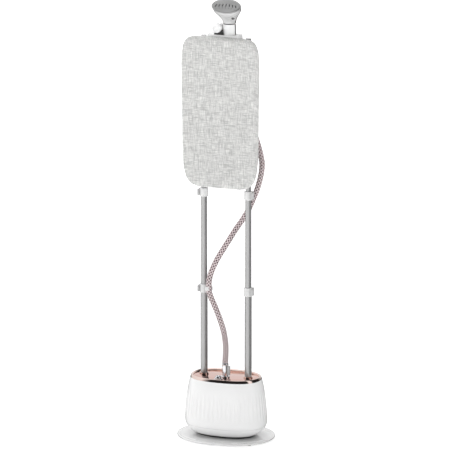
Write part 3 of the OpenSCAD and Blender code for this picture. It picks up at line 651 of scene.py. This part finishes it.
def cut_window(piece, half_width, low, high):
    """Cuts an opening with straight edges out of the rear of a wall."""
    work = bmesh.new()
    work.from_mesh(piece.data)
    across, up = Vector((1, 0, 0)), Vector((0, 0, 1))
    for way, at in ((across, half_width), (across, -half_width), (up, low), (up, high)):
        rear = [f for f in work.faces if f.calc_center_median().y > 0]
        edges = list({e for f in rear for e in f.edges})
        verts = list({v for f in rear for v in f.verts})
        bmesh.ops.bisect_plane(
            work, geom=rear + edges + verts, plane_co=at * MM * way, plane_no=way, dist=1e-6
        )
    window = []
    for face in work.faces:
        x, y, z = face.calc_center_median() / MM
        if abs(x) < half_width and y > 0 and low < z < high:
            window.append(face)
    bmesh.ops.delete(work, geom=window, context="FACES")
    work.to_mesh(piece.data)
    work.free()


def add_top():
    # As inset from the trim's outside and height, round its section and back
    profile = [
        (0, 226.2), (0.5, 228.0), (1.15, 230.2), (1.95, 232.4), (2.85, 234.4), (3.9, 236.0),
        (4.7, 236.9), (4.9, 237), (5.9, 237), (6.0, 236.95), (10, 233.2), (10, 226.2),
    ]
    rings = [base_ring(z, RIM_SHARE, inset) for inset, z in profile]
    trim = build("mirror_trim", *skin(rings, loop=True))
    place(trim, "base", "rose_mirror", ROSE_TRIM, "trim_ring")

    low, high = box_mm("top_panel")
    bottom, top = low[2], high[2]
    profile = [(0, bottom), (0, top - 0.5), (0.15, top - 0.15), (0.5, top)]
    rings = [base_ring(z, RIM_SHARE, PANEL_INSET + more) for more, z in profile]
    panel = build("mirror_panel", *skin(rings), sharp=50)
    holes = (
        (SOCKET_HOLE, (-POLE_X, 0)), (SOCKET_HOLE, (POLE_X, 0)), (OUTLET_HOLE, OUTLET),
        (STEM_HOLE, DIAL),
    )
    cutters = [turned("hole", [(r, bottom - 9), (r, top + 6)], centre) for r, centre in holes]
    combine(panel, cutters, sharp=50)
    place(panel, "base", "rose_mirror", ROSE_PANEL, "top_panel")


def middle_of(node):
    low, high = box_mm(node)
    return (low + high) / 2


OUTLET = tuple(middle_of("hose_outlet")[:2])
DIAL = tuple(middle_of("control_dial")[:2])
PANEL_INSET = 10.2
SOCKET_HOLE, OUTLET_HOLE, STEM_HOLE = 15.05, 11.75, 3.4


def arc(centre, radius, start, end, count):
    """Points of a circle's arc between two angles in degrees."""
    angles = np.radians(np.linspace(start, end, count))
    return [(centre[0] + radius * math.cos(t), centre[1] + radius * math.sin(t)) for t in angles]


def add_outlet():
    low, high = box_mm("hose_outlet")
    r, top, bore = 11.7, high[2], 5.0
    profile = [
        (r, low[2]), (r, 246), (r - 0.5, 246.4), (r - 0.5, 247.6), (r, 248),
        (r, top - 13.5), (r - 0.6, top - 13), (r - 0.6, top - 12), (r, top - 11.5), (r, top - 9.5),
    ]
    profile += arc((r, top - 6.6), 1.3, -70, 70, 9)
    profile += [
        (r, top - 4), (r, top - 1.2), (r - 0.4, top - 0.4), (r - 1.2, top),
        (bore, top), (bore, low[2]),
    ]
    outlet = turned("steam_outlet", profile, OUTLET, loop=True)
    place(outlet, "base", "chrome", CHROME, "hose_outlet")


def add_dial():
    low, high = box_mm("control_dial")
    r, under, rim, stem = (high[0] - low[0]) / 2, 234.0, 236.6, 3.0
    dome_r, shoulder = r - 0.4, rim + 0.8
    dome_h = high[2] - shoulder

    def profile(lift=0.0):
        side = [(stem, low[2]), (stem, under), (r - 1, under), (r, under + 0.8), (r, rim)]
        dome = [
            ((dome_r + lift) * math.cos(t), shoulder + (dome_h + lift) * math.sin(t))
            for t in np.radians(np.linspace(0, 90, 16))
        ]
        return [(0, low[2]), *side, *dome]

    def ribs(angle, radius):
        return radius - (0.35 * (0.5 + 0.5 * np.cos(36 * angle)) if radius > r - 0.2 else 0)

    dial = turned("domed_dial", profile(), DIAL, steps=288, ribs=ribs)
    place(dial, "dial", "chrome", CHROME, "control_dial")
    mark = turned("dial_mark", profile(0.25), DIAL, steps=72)
    x, y = DIAL
    clip(mark, (x - 0.9, y - 10.5, 240), (x + 0.9, y - 3.5, 260))
    place(mark, "dial", "dark_plastic", DARK_PLASTIC)


def housing_solid(name, inset):
    """The housing's plain outer form, drawn in by an inset, as a closed solid."""
    rings = [base_ring(z, share, inset) for z, share in spline(HOUSING_PROFILE, 5)]
    return build(name, *skin(rings))


def add_tank():
    low, high = box_mm("water_tank")
    half, wall_low, wall_high, front = high[0], low[2], high[2], low[1]
    tank_wall, side_gap, box_top, past_rear = 2.5, 2.0, 178.0, 120
    back = housing_solid("tank_with_rear_wall", 0)
    clip(back, (-half, 0, wall_low), (half, past_rear, wall_high))
    combine(back, [housing_solid("cut", WALL)])
    body = housing_solid("body", 0.6)
    box_half, box_low = half - side_gap, wall_low + side_gap
    clip(body, (-box_half, front, box_low), (box_half, past_rear, box_top))
    neck_r, filler_r, neck_top = 14.0, 12.0, 182.0
    filler = (0.0, float(middle_of("tank_cap")[1]))
    neck = turned("neck", [(neck_r, box_top - 1), (neck_r, neck_top)], filler)
    grip = block("grip", (-24, 90, wall_high - 16), (24, 101, wall_high - 10))
    settle(round_edges(grip, 1.5, 3))
    combine(back, [body, neck, grip], "UNION")
    hollow = housing_solid("hollow", WALL + tank_wall)
    near = (-box_half + tank_wall, front + tank_wall, box_low + tank_wall)
    far = (box_half - tank_wall, past_rear, box_top - tank_wall)
    clip(hollow, near, far)
    hole = turned("hole", [(filler_r, box_top - 5), (filler_r, neck_top + 5)], filler)
    combine(back, [hollow, hole], sharp=32)
    place(back, "tank", "tank_smoke", TANK, "water_tank")


add_floor_plate()
add_pan()
add_housing()
add_top()
add_outlet()
add_dial()
add_tank()


# ---- The steam head ----

HEAD_X = float(middle_of("handle_front")[0])
SOLE_TILT = 52
SOLE_A = (box_mm("soleplate")[1][0] - box_mm("soleplate")[0][0]) / 2
SOLE_B = 29.3
SOLE_FACE = (-47.5, 1650.5)
# Sections as height, depth, half width, half depth and tilt
HANDLE_SECTIONS = [
    (1465, -12, 16.5, 16, 0), (1500, -12, 20, 18.5, 0), (1525, -12, 23, 20, 0),
    (1545, -12, 24.6, 21, 0), (1560, -12, 24.8, 21.4, 0), (1577, -12, 24.2, 21.4, 0),
]
HEAD_SECTIONS = [
    (1580, -12, 24.4, 21.6, 0), (1592, -13, 27, 23, 8), (1608, -17, 36, 26, 22),
    (1622, -24, 46, 28.5, 36), (1633, -32.5, SOLE_A - 3.5, 29.6, 46),
    (1646.3, -42.1, SOLE_A, 29.3, SOLE_TILT),
]
FRONT_ANGLES = (194, 346)
REAR_ANGLES = (-10, 190)
TRIM_ANGLES = np.array([-13.5, -12, -10.5])
NECK_SECTIONS = [
    (1577.2, -12, 22.6, 19.8, 0), (1578.1, -12, 23.2, 20.4, 0), (1579.8, -12, 22.6, 19.8, 0),
]
BUTTON_HOLE = 4.9


def sections_at(sections, fractions):
    """Sections between the given ones, at fractions of the way along them all."""
    fine = spline(sections, 24)
    way = np.linspace(0, 1, len(fine))
    return np.column_stack([np.interp(fractions, way, values) for values in fine.T])


def head_points(section, degrees, swell=0.0):
    z, y, a, b, tilt = section
    t, lean = np.radians(degrees), math.radians(tilt)
    out = (b + swell) * np.sin(t)
    x = HEAD_X + (a + swell) * np.cos(t)
    return columns(x, y + out * math.cos(lean), z + out * math.sin(lean))


def half_shell(name, sections, angles, grooves=(), depth=0.5, width=0.010, count=72, edge=0.8):
    """One side of the handle or head, with fine grooves round it at some fractions of it."""
    fractions = list(np.linspace(0, 1, 41))
    for at in grooves:
        fractions += [at - width, at - width / 2, at + width / 2, at + width]
    fractions = sorted(f for f in set(np.round(fractions, 6)) if 0 <= f <= 1)
    degrees = np.linspace(*angles, count)
    rings = []
    for fraction, section in zip(fractions, sections_at(sections, fractions)):
        in_groove = any(abs(fraction - at) < width / 2 + 1e-5 for at in grooves)
        sink = edge if fraction in (0, 1) else depth * in_groove
        rings.append(head_points(section, degrees, -sink))
    return build(name, *skin(rings), sharp=38)


def add_handle():
    front = half_shell(
        "handle_front_shell", HANDLE_SECTIONS, FRONT_ANGLES, grooves=(0.985,), depth=0.4
    )
    place(front, "head", "bridge_white", BRIDGE_WHITE, "handle_front")
    ribs = [0.12 + 0.055 * i for i in range(14)]
    grip = half_shell(
        "handle_grip_shell", HANDLE_SECTIONS, REAR_ANGLES, grooves=ribs, depth=0.8, width=0.014
    )
    place(grip, "head", "dark_plastic", DARK_PLASTIC, "handle_grip")


def add_head():
    shell = half_shell(
        "head_front_shell", HEAD_SECTIONS, FRONT_ANGLES, grooves=(0.30, 0.66, 0.90), width=0.009
    )
    low, high = box_mm("steam_button")
    middle = middle_of("steam_button")
    profile = [(BUTTON_HOLE, low[1] - 40), (BUTTON_HOLE, high[1] + 2.5)]
    hole = turned("hole", profile, middle[::2], along="Y")
    combine(shell, [hole], sharp=38)
    place(shell, "head", "head_silver", HEAD_SILVER, "head_shell")
    back = half_shell("head_rear_shell", HEAD_SECTIONS, REAR_ANGLES, grooves=(0.45,), depth=0.4)
    place(back, "head", "dark_plastic", DARK_PLASTIC, "head_back")

    sections = np.vstack([
        sections_at(HANDLE_SECTIONS, np.linspace(0, 1, 24)),
        sections_at(HEAD_SECTIONS, np.linspace(0, 1, 30)),
    ])
    corners = np.append(TRIM_ANGLES, 180 - TRIM_ANGLES[::-1])
    bulge = np.array([0, 0.35, 0, 0, 0.35, 0])
    rings = []
    for section in sections:
        ring = head_points(section, corners)
        rings.append(ring + bulge[:, None] * unit(ring - ring.mean(axis=0)))
    trim = build("head_side_trim", *skin(rings), sharp=38)
    place(trim, "head", "rose_mirror", ROSE_TRIM, "head_trim")

    neck = sections_at(NECK_SECTIONS, np.linspace(0, 1, 9))
    degrees = np.linspace(*FRONT_ANGLES, 72)
    ring = build("neck_seal", *skin([head_points(s, degrees) for s in neck]), sharp=38)
    place(ring, "head", "dark_plastic", DARK_PLASTIC, "neck_ring")


def sole_points(inset, depth, count=144):
    """A ring parallel to the soleplate's face: inset from its edge and behind it by depth."""
    t = np.linspace(0, TURN, count, endpoint=False)
    return sole_place((SOLE_A - inset) * np.cos(t), (SOLE_B - inset) * np.sin(t), depth)


def sole_place(across, up, depth):
    """Points in the frame from places on the soleplate's face and a depth behind it."""
    lean = math.radians(SOLE_TILT)
    y = SOLE_FACE[0] + up * math.cos(lean) + depth * math.sin(lean)
    z = SOLE_FACE[1] + up * math.sin(lean) - depth * math.cos(lean)
    return columns(HEAD_X + across, y, z)


def vent_cutter(x, up, turn, half_l, half_w, depth):
    """A slot with round ends, pushed into the soleplate's face."""
    shift = half_l - half_w
    outline = arc((0, shift), half_w, 0, 180, 9) + arc((0, -shift), half_w, 180, 360, 9)
    px, pz = np.array(outline).T
    across = x + px * math.cos(turn) - pz * math.sin(turn)
    high = up + px * math.sin(turn) + pz * math.cos(turn)
    return build("vent", *skin([sole_place(across, high, d) for d in (-2.0, depth)]))


# A row of slots that fan out and dip at its ends, over a row of short ones a little closer
# together. Each vent is half its length, half its width and its depth.
VENT_STEPS = 3
VENT_PITCH = 13
VENT_FAN = 9
VENT_ARCH = 0.45
SLOT, SLOT_UP = (6.5, 1.8, 6), 2.5
DOT, DOT_UP, DOT_SHARE = (2.0, 1.5, 6), -9.5, 0.93
# Depths of the dark sheet behind the vents that gives them their painted shade
VENT_SHADE_DEPTHS = (4.74, 4.96)


def add_soleplate():
    band = [(-0.1, 6.5), (-0.6, 6.2), (-0.75, 5.7), (-0.6, 5.2), (0.2, 5.0)]
    rim = build("sole_rim", *skin([sole_points(*p) for p in band]), sharp=45)
    place(rim, "head", "head_silver", HEAD_SILVER, "sole_band")
    face = [
        (0.3, 4.7), (0, 4.3), (0, 1.2), (0.35, 0.5), (1.1, 0), (4.2, 0), (4.7, 0.45), (5.6, 0.45),
        (6.1, 0), (12, 0),
    ]
    plate = build("vented_soleplate", *skin([sole_points(*p) for p in face]))
    cutters = []
    for step in range(-VENT_STEPS, VENT_STEPS + 1):
        fan = math.radians(VENT_FAN * step)
        across, lift = VENT_PITCH * step, -VENT_ARCH * step * step
        cutters.append(vent_cutter(across, SLOT_UP + lift, fan, *SLOT))
        cutters.append(vent_cutter(across * DOT_SHARE, DOT_UP + lift, fan, *DOT))
    combine(plate, cutters)
    place(plate, "head", "soleplate_metal", SOLE, "soleplate")
    # Painted shade: a dark sheet just behind the soleplate's face, seen through the vents, stands
    # in for the shade inside them.
    vent_shade_sheet = build("painted_vent_shade", *skin([sole_points(6, d) for d in VENT_SHADE_DEPTHS]))
    place(vent_shade_sheet, "head", "dark_plastic", DARK_PLASTIC)


def add_button_and_cuff():
    low, high = box_mm("steam_button")
    middle = middle_of("steam_button")
    r = (high[0] - low[0]) / 2
    profile = [
        (0, high[1]), (r, high[1]), (r, low[1] + 1.4), (r - 0.4, low[1] + 0.5), (r - 1.2, low[1]),
        (r - 1.8, low[1] + 0.15), (0, low[1] + 0.55),
    ]
    button = turned("round_button", profile, middle[::2], along="Y", steps=48)
    place(button, "steam_trigger", "dark_plastic", BUTTON_GREY, "steam_button")

    low, high = box_mm("hose_cuff")
    centre = middle_of("hose_cuff")[:2]
    bottom_r, top_r, ribs = HOSE_DIAMETER / MM / 2 + 1.5, (high[0] - low[0]) / 2, 6
    profile = [(0, low[2]), (bottom_r - 0.6, low[2]), (bottom_r, low[2] + 0.6)]
    pitch = (high[2] - low[2] - 4) / ribs
    for i in range(ribs):
        z = low[2] + 2 + i * pitch
        for step, sink in ((0, 0), (0.25, 0.9), (0.5, 1.0), (0.75, 0.9), (1, 0)):
            level = z + step * pitch * 0.55
            share = (level - low[2]) / (high[2] - low[2])
            profile.append((bottom_r + (top_r - bottom_r) * share - sink, level))
    profile += [(top_r - 0.3, high[2] - 0.4), (top_r - 0.8, high[2]), (0, high[2])]
    cuff = turned("ribbed_cuff", profile, centre, sharp=50)
    place(cuff, "head", "dark_rubber", DARK_RUBBER, "hose_cuff")


def add_knob():
    low, high = box_mm("lock_knob")
    centre = middle_of("lock_knob")[::2]
    r, front, back, stem_end = 17.5, low[1], -24.0, high[1]
    profile = [
        (0, stem_end), (4, stem_end), (4, back), (r - 2.4, back), (r - 0.8, back - 0.8),
        (r, back - 2.4), (r, front + 2.6), (r - 0.6, front + 1.1), (r - 1.9, front + 0.2),
        (r - 3.4, front), (r - 4.6, front + 0.5), (r - 5.4, front + 2.2), (r - 6.4, front + 3),
        (0, front + 3.2),
    ]

    def ribs(angle, radius):
        bite = np.clip(np.cos(12 * angle), 0, 1) ** 4
        return radius - (0.9 * bite if radius > r - 0.9 else 0)

    knob = turned("round_knob", profile, centre, along="Y", steps=288, ribs=ribs, sharp=45)
    place(knob, "knob", "bridge_white", BRIDGE_WHITE, "lock_knob")
    bar = block("bar", (-10.8, front + 0.3, -2.6), (10.8, front + 4, 2.6))
    settle(round_edges(bar, 1.2, 3))
    bar.name = "knob_finger_bar"
    bar.rotation_euler = (0, math.radians(-35), 0)
    bar.location = Vector((centre[0], 0, centre[1])) * MM
    place(bar, "knob", "bridge_white", BRIDGE_WHITE)


add_handle()
add_head()
add_soleplate()
add_button_and_cuff()
add_knob()


# ---- The ironing board ----

BOARD_LOW, BOARD_HIGH = box_mm("board_cover")
BOARD_HALF_H = (BOARD_HIGH[2] - BOARD_LOW[2]) / 2
BOARD_MID_Z = (BOARD_HIGH[2] + BOARD_LOW[2]) / 2
BOARD_HALF_W = 155.0
TOP_POWER, BOTTOM_POWER = 8, 6
BOTTOM_NARROWING = 0.02
PLATE_BACK_Y, PLATE_FRONT_Y = box_mm("board_back")[1][1], box_mm("board_back")[0][1]


def board_outline(inset, count=240):
    """The board's outline as even points (x, z): squarer at the top, narrower below."""
    t = np.linspace(0, TURN, 12001)
    c, s = np.cos(t), np.sin(t)
    power = np.where(s > 0, TOP_POWER, BOTTOM_POWER)
    up = np.sign(s) * np.abs(s) ** (2 / power)
    narrow = 1 - BOTTOM_NARROWING * (1 - up)
    x = (BOARD_HALF_W * narrow - inset) * np.sign(c) * np.abs(c) ** (2 / power)
    z = BOARD_MID_Z + (BOARD_HALF_H - inset) * up
    along = travelled(x, z)
    even = np.linspace(0, along[-1], count, endpoint=False)
    return np.interp(even, along, x), np.interp(even, along, z)


def board_ring(y, inset, count=240):
    x, z = board_outline(inset, count)
    return columns(x, y, z)


def coordinates(mesh):
    co = np.empty(len(mesh.vertices) * 3)
    mesh.vertices.foreach_get("co", co)
    return co.reshape(-1, 3)


# The cover's form before it is filled, as depth and inset from the board's outline
PAD_PROFILE = [
    (-45.0, 12), (-46.2, 6), (-50, 2.8), (-58, 2.0), (-64, 2.4), (-69, 4.6), (-71.8, 9),
    (-72.6, 16),
]
COVER_STRETCH = 1.03
PAD_VOXEL = 5.0
PAD_CLOTH = {
    "quality": 5, "mass": 0.3, "tension_stiffness": 15, "compression_stiffness": 15,
    "bending_stiffness": 0.5, "use_pressure": True, "uniform_pressure_force": 4.0,
}
PAD_FRAMES = 20
PAD_MOVE_FRONT = 2.6
PAD_MOVE_SIDE = 1.4


def fill_pad(pad):
    """Blows the cover up as cloth round its foam, and keeps each point near the foam."""
    before = coordinates(pad.data)
    cloth = pad.modifiers.new("cloth", "CLOTH")
    for setting, value in PAD_CLOTH.items():
        setattr(cloth.settings, setting, value)
    cloth.settings.effector_weights.gravity = 0
    cloth.collision_settings.use_collision = False
    for frame_number in range(1, PAD_FRAMES + 1):
        scene.frame_set(frame_number)
    settle(pad)
    scene.frame_set(1)
    move = (coordinates(pad.data) - before) / MM
    length = np.linalg.norm(move, axis=1)
    facing_front = smoothstep(-60, -72, before[:, 1] / MM)
    limit = PAD_MOVE_SIDE + (PAD_MOVE_FRONT - PAD_MOVE_SIDE) * facing_front
    move *= (np.minimum(length, limit) / np.maximum(length, 1e-9))[:, None]
    after = before + move * MM
    after[:, 1] = np.minimum(after[:, 1], (PLATE_FRONT_Y - 0.3) * MM)
    pad.data.vertices.foreach_set("co", after.ravel())
    pad.data.update()


def add_cover():
    rings = [board_ring(y, inset) * (COVER_STRETCH, 1, 1) for y, inset in PAD_PROFILE]
    cover = build("linen_board_cover", *skin(rings))
    settle(modify(cover, "REMESH", mode="VOXEL", voxel_size=PAD_VOXEL * MM))
    fill_pad(cover)
    modify(cover, "SMOOTH", factor=0.5, iterations=6)
    settle(modify(cover, "SUBSURF", levels=1, render_levels=1))
    shade(cover.data, 80)
    place(cover, "top_frame", "linen_cover", LINEN, "board_cover", "board_pad")


HEM_POINTS = 900
HEM_GATHERS = 150
HEM_INSET = 8.6
HEM_Y = -42.3


def add_hem():
    """The gathered hem that an elastic draws over the edge of the board's back."""
    x, z = board_outline(HEM_INSET, HEM_POINTS)
    out = unit(np.column_stack([np.gradient(z), -np.gradient(x)]))
    way = np.arange(HEM_POINTS) / HEM_POINTS
    gather = np.sin(TURN * way * HEM_GATHERS + 2.5 * np.sin(TURN * way * 17))
    across = 3.1 + 0.5 * gather + 0.4 * np.sin(TURN * way * 41)
    thick = 1.7 + 0.32 * gather
    t = np.linspace(0, TURN, 14, endpoint=False)
    rings = []
    for i in range(HEM_POINTS):
        side, back = across[i] * np.cos(t), thick[i] * np.sin(t)
        rings.append(columns(x[i] + out[i, 0] * side, HEM_Y + back, z[i] + out[i, 1] * side))
    hem = build("gathered_hem", *skin(rings, loop=True), sharp=80)
    place(hem, "top_frame", "linen_cover", LINEN)


POCKET_DEPTH = 1.4
POCKET_CENTRES_X = (-62.0, 62.0)
POCKET_HALF_W = 50.0
POCKET_HALF_H = 26.0
POCKET_CENTRES_Z = (1004, 1072, 1140, 1208, 1332, 1400, 1468)
POCKET_CORNER = 9.0


def add_board_back():
    """The moulded plate behind the pad, with shallow pockets between its stiffening ribs."""
    inset = 12.0
    outer = [
        board_ring(PLATE_FRONT_Y, inset + 0.4), board_ring(PLATE_BACK_Y - 1, inset),
        board_ring(PLATE_BACK_Y, inset + 0.9),
    ]
    plate = build("ribbed_board_back", *skin(outer), sharp=38)
    cutters = []
    for x in POCKET_CENTRES_X:
        for z in POCKET_CENTRES_Z:
            near = (x - POCKET_HALF_W, PLATE_BACK_Y - POCKET_DEPTH, z - POCKET_HALF_H)
            far = (x + POCKET_HALF_W, PLATE_BACK_Y + 5, z + POCKET_HALF_H)
            cutter = block("pocket", near, far)
            upright_only(cutter, POCKET_CORNER)
            cutters.append(cutter)
    combine(plate, cutters, sharp=38)
    place(plate, "top_frame", "board_plastic", BOARD_PLASTIC, "board_back")


def upright_only(cutter, radius):
    """Rounds the four edges of a block that run along Y."""
    work = bmesh.new()
    work.from_mesh(cutter.data)
    along_y = [e for e in work.edges if abs((e.verts[0].co - e.verts[1].co).normalized().y) > 0.9]
    bmesh.ops.bevel(work, geom=along_y, offset=radius * MM, segments=8, profile=0.5, affect="EDGES")
    work.to_mesh(cutter.data)
    work.free()


add_cover()
add_hem()
add_board_back()


# ---- Carried-over pieces ----

def smooth_by_angle(limit):
    """A node group that shades smooth, apart from edges that bend more than limit degrees."""
    group = bpy.data.node_groups.new("smooth by angle", "GeometryNodeTree")
    group.interface.new_socket("Geometry", in_out="INPUT", socket_type="NodeSocketGeometry")
    group.interface.new_socket("Geometry", in_out="OUTPUT", socket_type="NodeSocketGeometry")
    nodes, links = group.nodes, group.links
    start, end = nodes.new("NodeGroupInput"), nodes.new("NodeGroupOutput")
    faces, edges = nodes.new("GeometryNodeSetShadeSmooth"), nodes.new("GeometryNodeSetShadeSmooth")
    faces.domain, edges.domain = "FACE", "EDGE"
    angle, compare = nodes.new("GeometryNodeInputMeshEdgeAngle"), nodes.new("FunctionNodeCompare")
    compare.operation = "LESS_EQUAL"
    compare.inputs[1].default_value = math.radians(limit)
    links.new(start.outputs[0], faces.inputs["Geometry"])
    links.new(faces.outputs[0], edges.inputs["Geometry"])
    links.new(angle.outputs["Unsigned Angle"], compare.inputs[0])
    links.new(compare.outputs[0], edges.inputs["Shade Smooth"])
    links.new(edges.outputs[0], end.inputs[0])
    return group


SMOOTH = smooth_by_angle(30)


def dress(node, material, width=0.4):
    """Gives a CAD node its material, smooth shading and softly rounded edges."""
    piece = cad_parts[node]
    piece.data.materials.clear()
    piece.data.materials.append(material)
    normals = piece.data.attributes.get("custom_normal")
    if normals:
        piece.data.attributes.remove(normals)
    modify(piece, "WELD", merge_threshold=0.01 * MM)
    modify(piece, "NODES", node_group=SMOOTH)
    if width:
        round_edges(piece, width)


SIDES = ("left", "right")
# Material, width of the rounded edges, nodes
CAD_LOOKS = [
    (POLE, 0.3, [f"{level}_pole_{side}" for level in ("lower", "mid", "upper") for side in SIDES]),
    (CLAMP_WHITE, 0.6, ["lower_collars", "upper_collars", "hose_clip", "board_bracket"]),
    (LEVER_GREY, 0.6, [f"{level}_lever_{side}" for level in ("lower", "upper") for side in SIDES]),
    (LEVER_GREY, 0.8, ["hose_latch"]),
    (ROSE_TRIM, 0.5, ["pole_sockets"]),
    (BRIDGE_WHITE, 0.5, ["top_bridge", "upper_pole_ends"]),
    (CHROME, 0.4, ["panel_rings"]),
    (STEEL, 0.25, ["base_screws", "lower_pins", "upper_pins", "bracket_screws"]),
    # The pedestal is a real piece, but its dark plastic is painted shade: it darkens the gap
    # between the pan and the floor plate.
    (DARK_PLASTIC, 0.4, [
        "pedestal", "cord_gland", "water_pump", "rotary_switch", "tank_valve", "tank_cap",
        "mid_end_plugs",
    ]),
    # The cradle pad's dark rubber is painted shade: it stands in for the shade between the knob and
    # the handle.
    (DARK_RUBBER, 0.5, ["floor_feet", "cradle_pad"]),
    (BOILER_METAL, 0.6, ["boiler"]),
    (COPPER, 0.2, ["feed_pipes"]),
    (CIRCUIT, 0, ["control_board"]),
]
for material, width, nodes in CAD_LOOKS:
    for node in nodes:
        dress(node, material, width)


# ---- The floor and the light ----

FLOOR_SIZE = 60.0
# The floor's glow and the distances in metres over which it rises
FLOOR_GLOW = (0.30, 0.80)
GLOW_RISE = (1.2, 4.0)


def add_floor():
    g = Graph("floor", Roughness=0.7, Specular_IOR_Level=0.2, Emission_Color=rgba(1.0))
    away = g.node("VectorMath", {0: g.place}, operation="LENGTH").outputs["Value"]
    material = g.finish(
        Base_Color=g.mix(g.noise(900, detail=4), rgba(0.88), rgba(0.90)),
        Emission_Strength=g.span(away, *FLOOR_GLOW, *GLOW_RISE),
    )
    half = FLOOR_SIZE / 2 / MM
    corners = [(-half, -half, 0), (half, -half, 0), (half, half, 0), (-half, half, 0)]
    floor = build("floor", corners, [(0, 1, 2, 3)])
    floor.data.materials.append(material)
    floor.visible_glossy = False


def add_light(name, location, target, power, width, height):
    data = bpy.data.lights.new(name, "AREA")
    data.shape = "RECTANGLE"
    data.size, data.size_y = width, height
    data.energy = power
    light = bpy.data.objects.new(name, data)
    scene.collection.objects.link(light)
    light.location = location
    aim = Vector(target) - Vector(location)
    light.rotation_euler = aim.to_track_quat("-Z", "Y").to_euler()
    light.visible_glossy = False


# What mirrors see, by direction from the camera's side: angle to the viewer's right in
# degrees and brightness, below the horizon and above it, and the brightness overhead
LOW_SURROUND = [(-180, 0.03), (-128, 0.03), (-108, 1.2), (10, 1.1), (40, 0.04), (180, 0.04)]
HIGH_SURROUND = [
    (-180, 0.85), (-150, 0.85), (-75, 0.95), (-56, 0.02), (40, 0.02), (46, 1.0), (64, 1.0),
    (72, 0.02), (125, 0.02), (150, 0.85), (180, 0.85),
]
ZENITH = 1.15
# The heights, as the sine of the elevation, over which one band gives way to the next
HORIZON = (-0.10, 0.02)
OVERHEAD = (0.88, 0.97)


def add_surround():
    scene.world = bpy.data.worlds.new("studio")
    g = Nodes(scene.world)

    def band(stops, place):
        ramp = g.node("ValToRGB", {0: place})
        elements = ramp.color_ramp.elements
        while len(elements) < len(stops):
            elements.new(0.5)
        for element, (angle, level) in zip(elements, stops):
            element.position = angle / 360 + 0.5
            element.color = (level, level, level, 1)
        return ramp.outputs[0]

    inputs = {"Vector": g.node("TexCoord").outputs["Generated"], "Angle": -VIEW_AZIMUTH}
    direction = g.node("VectorRotate", inputs, rotation_type="Z_AXIS").outputs[0]
    x, y, z = g.node("SeparateXYZ", {0: direction}).outputs
    angle = g.math("ARCTAN2", x, g.math("MULTIPLY", y, -1.0))
    around = g.span(angle, 0, 1, -math.pi, math.pi)
    low, high = band(LOW_SURROUND, around), band(HIGH_SURROUND, around)
    sides = g.mix(g.span(z, 0, 1, *HORIZON), low, high)
    whole = g.mix(g.span(z, 0, 1, *OVERHEAD), sides, (ZENITH, ZENITH, ZENITH, 1))
    g.tree.links.new(whole, g.tree.nodes["Background"].inputs["Color"])


add_floor()
add_surround()
# Where each light is and what it shines at, in metres, its watts, its width and height
add_light("key", (0.2, -4.3, 2.6), (0, 0, 0.8), 63, 2.0, 2.4)
add_light("rake", (-3.4, -1.6, 2.2), (0, 0, 0.6), 23, 1.0, 2.0)
add_light("fill", (3.2, -0.5, 2.0), (0, 0, 1.2), 26, 1.2, 1.6)
add_light("top", (-0.8, 1.4, 3.9), (0, 0, 0.4), 36, 1.6, 1.6)
scene.view_settings.view_transform = "Standard"
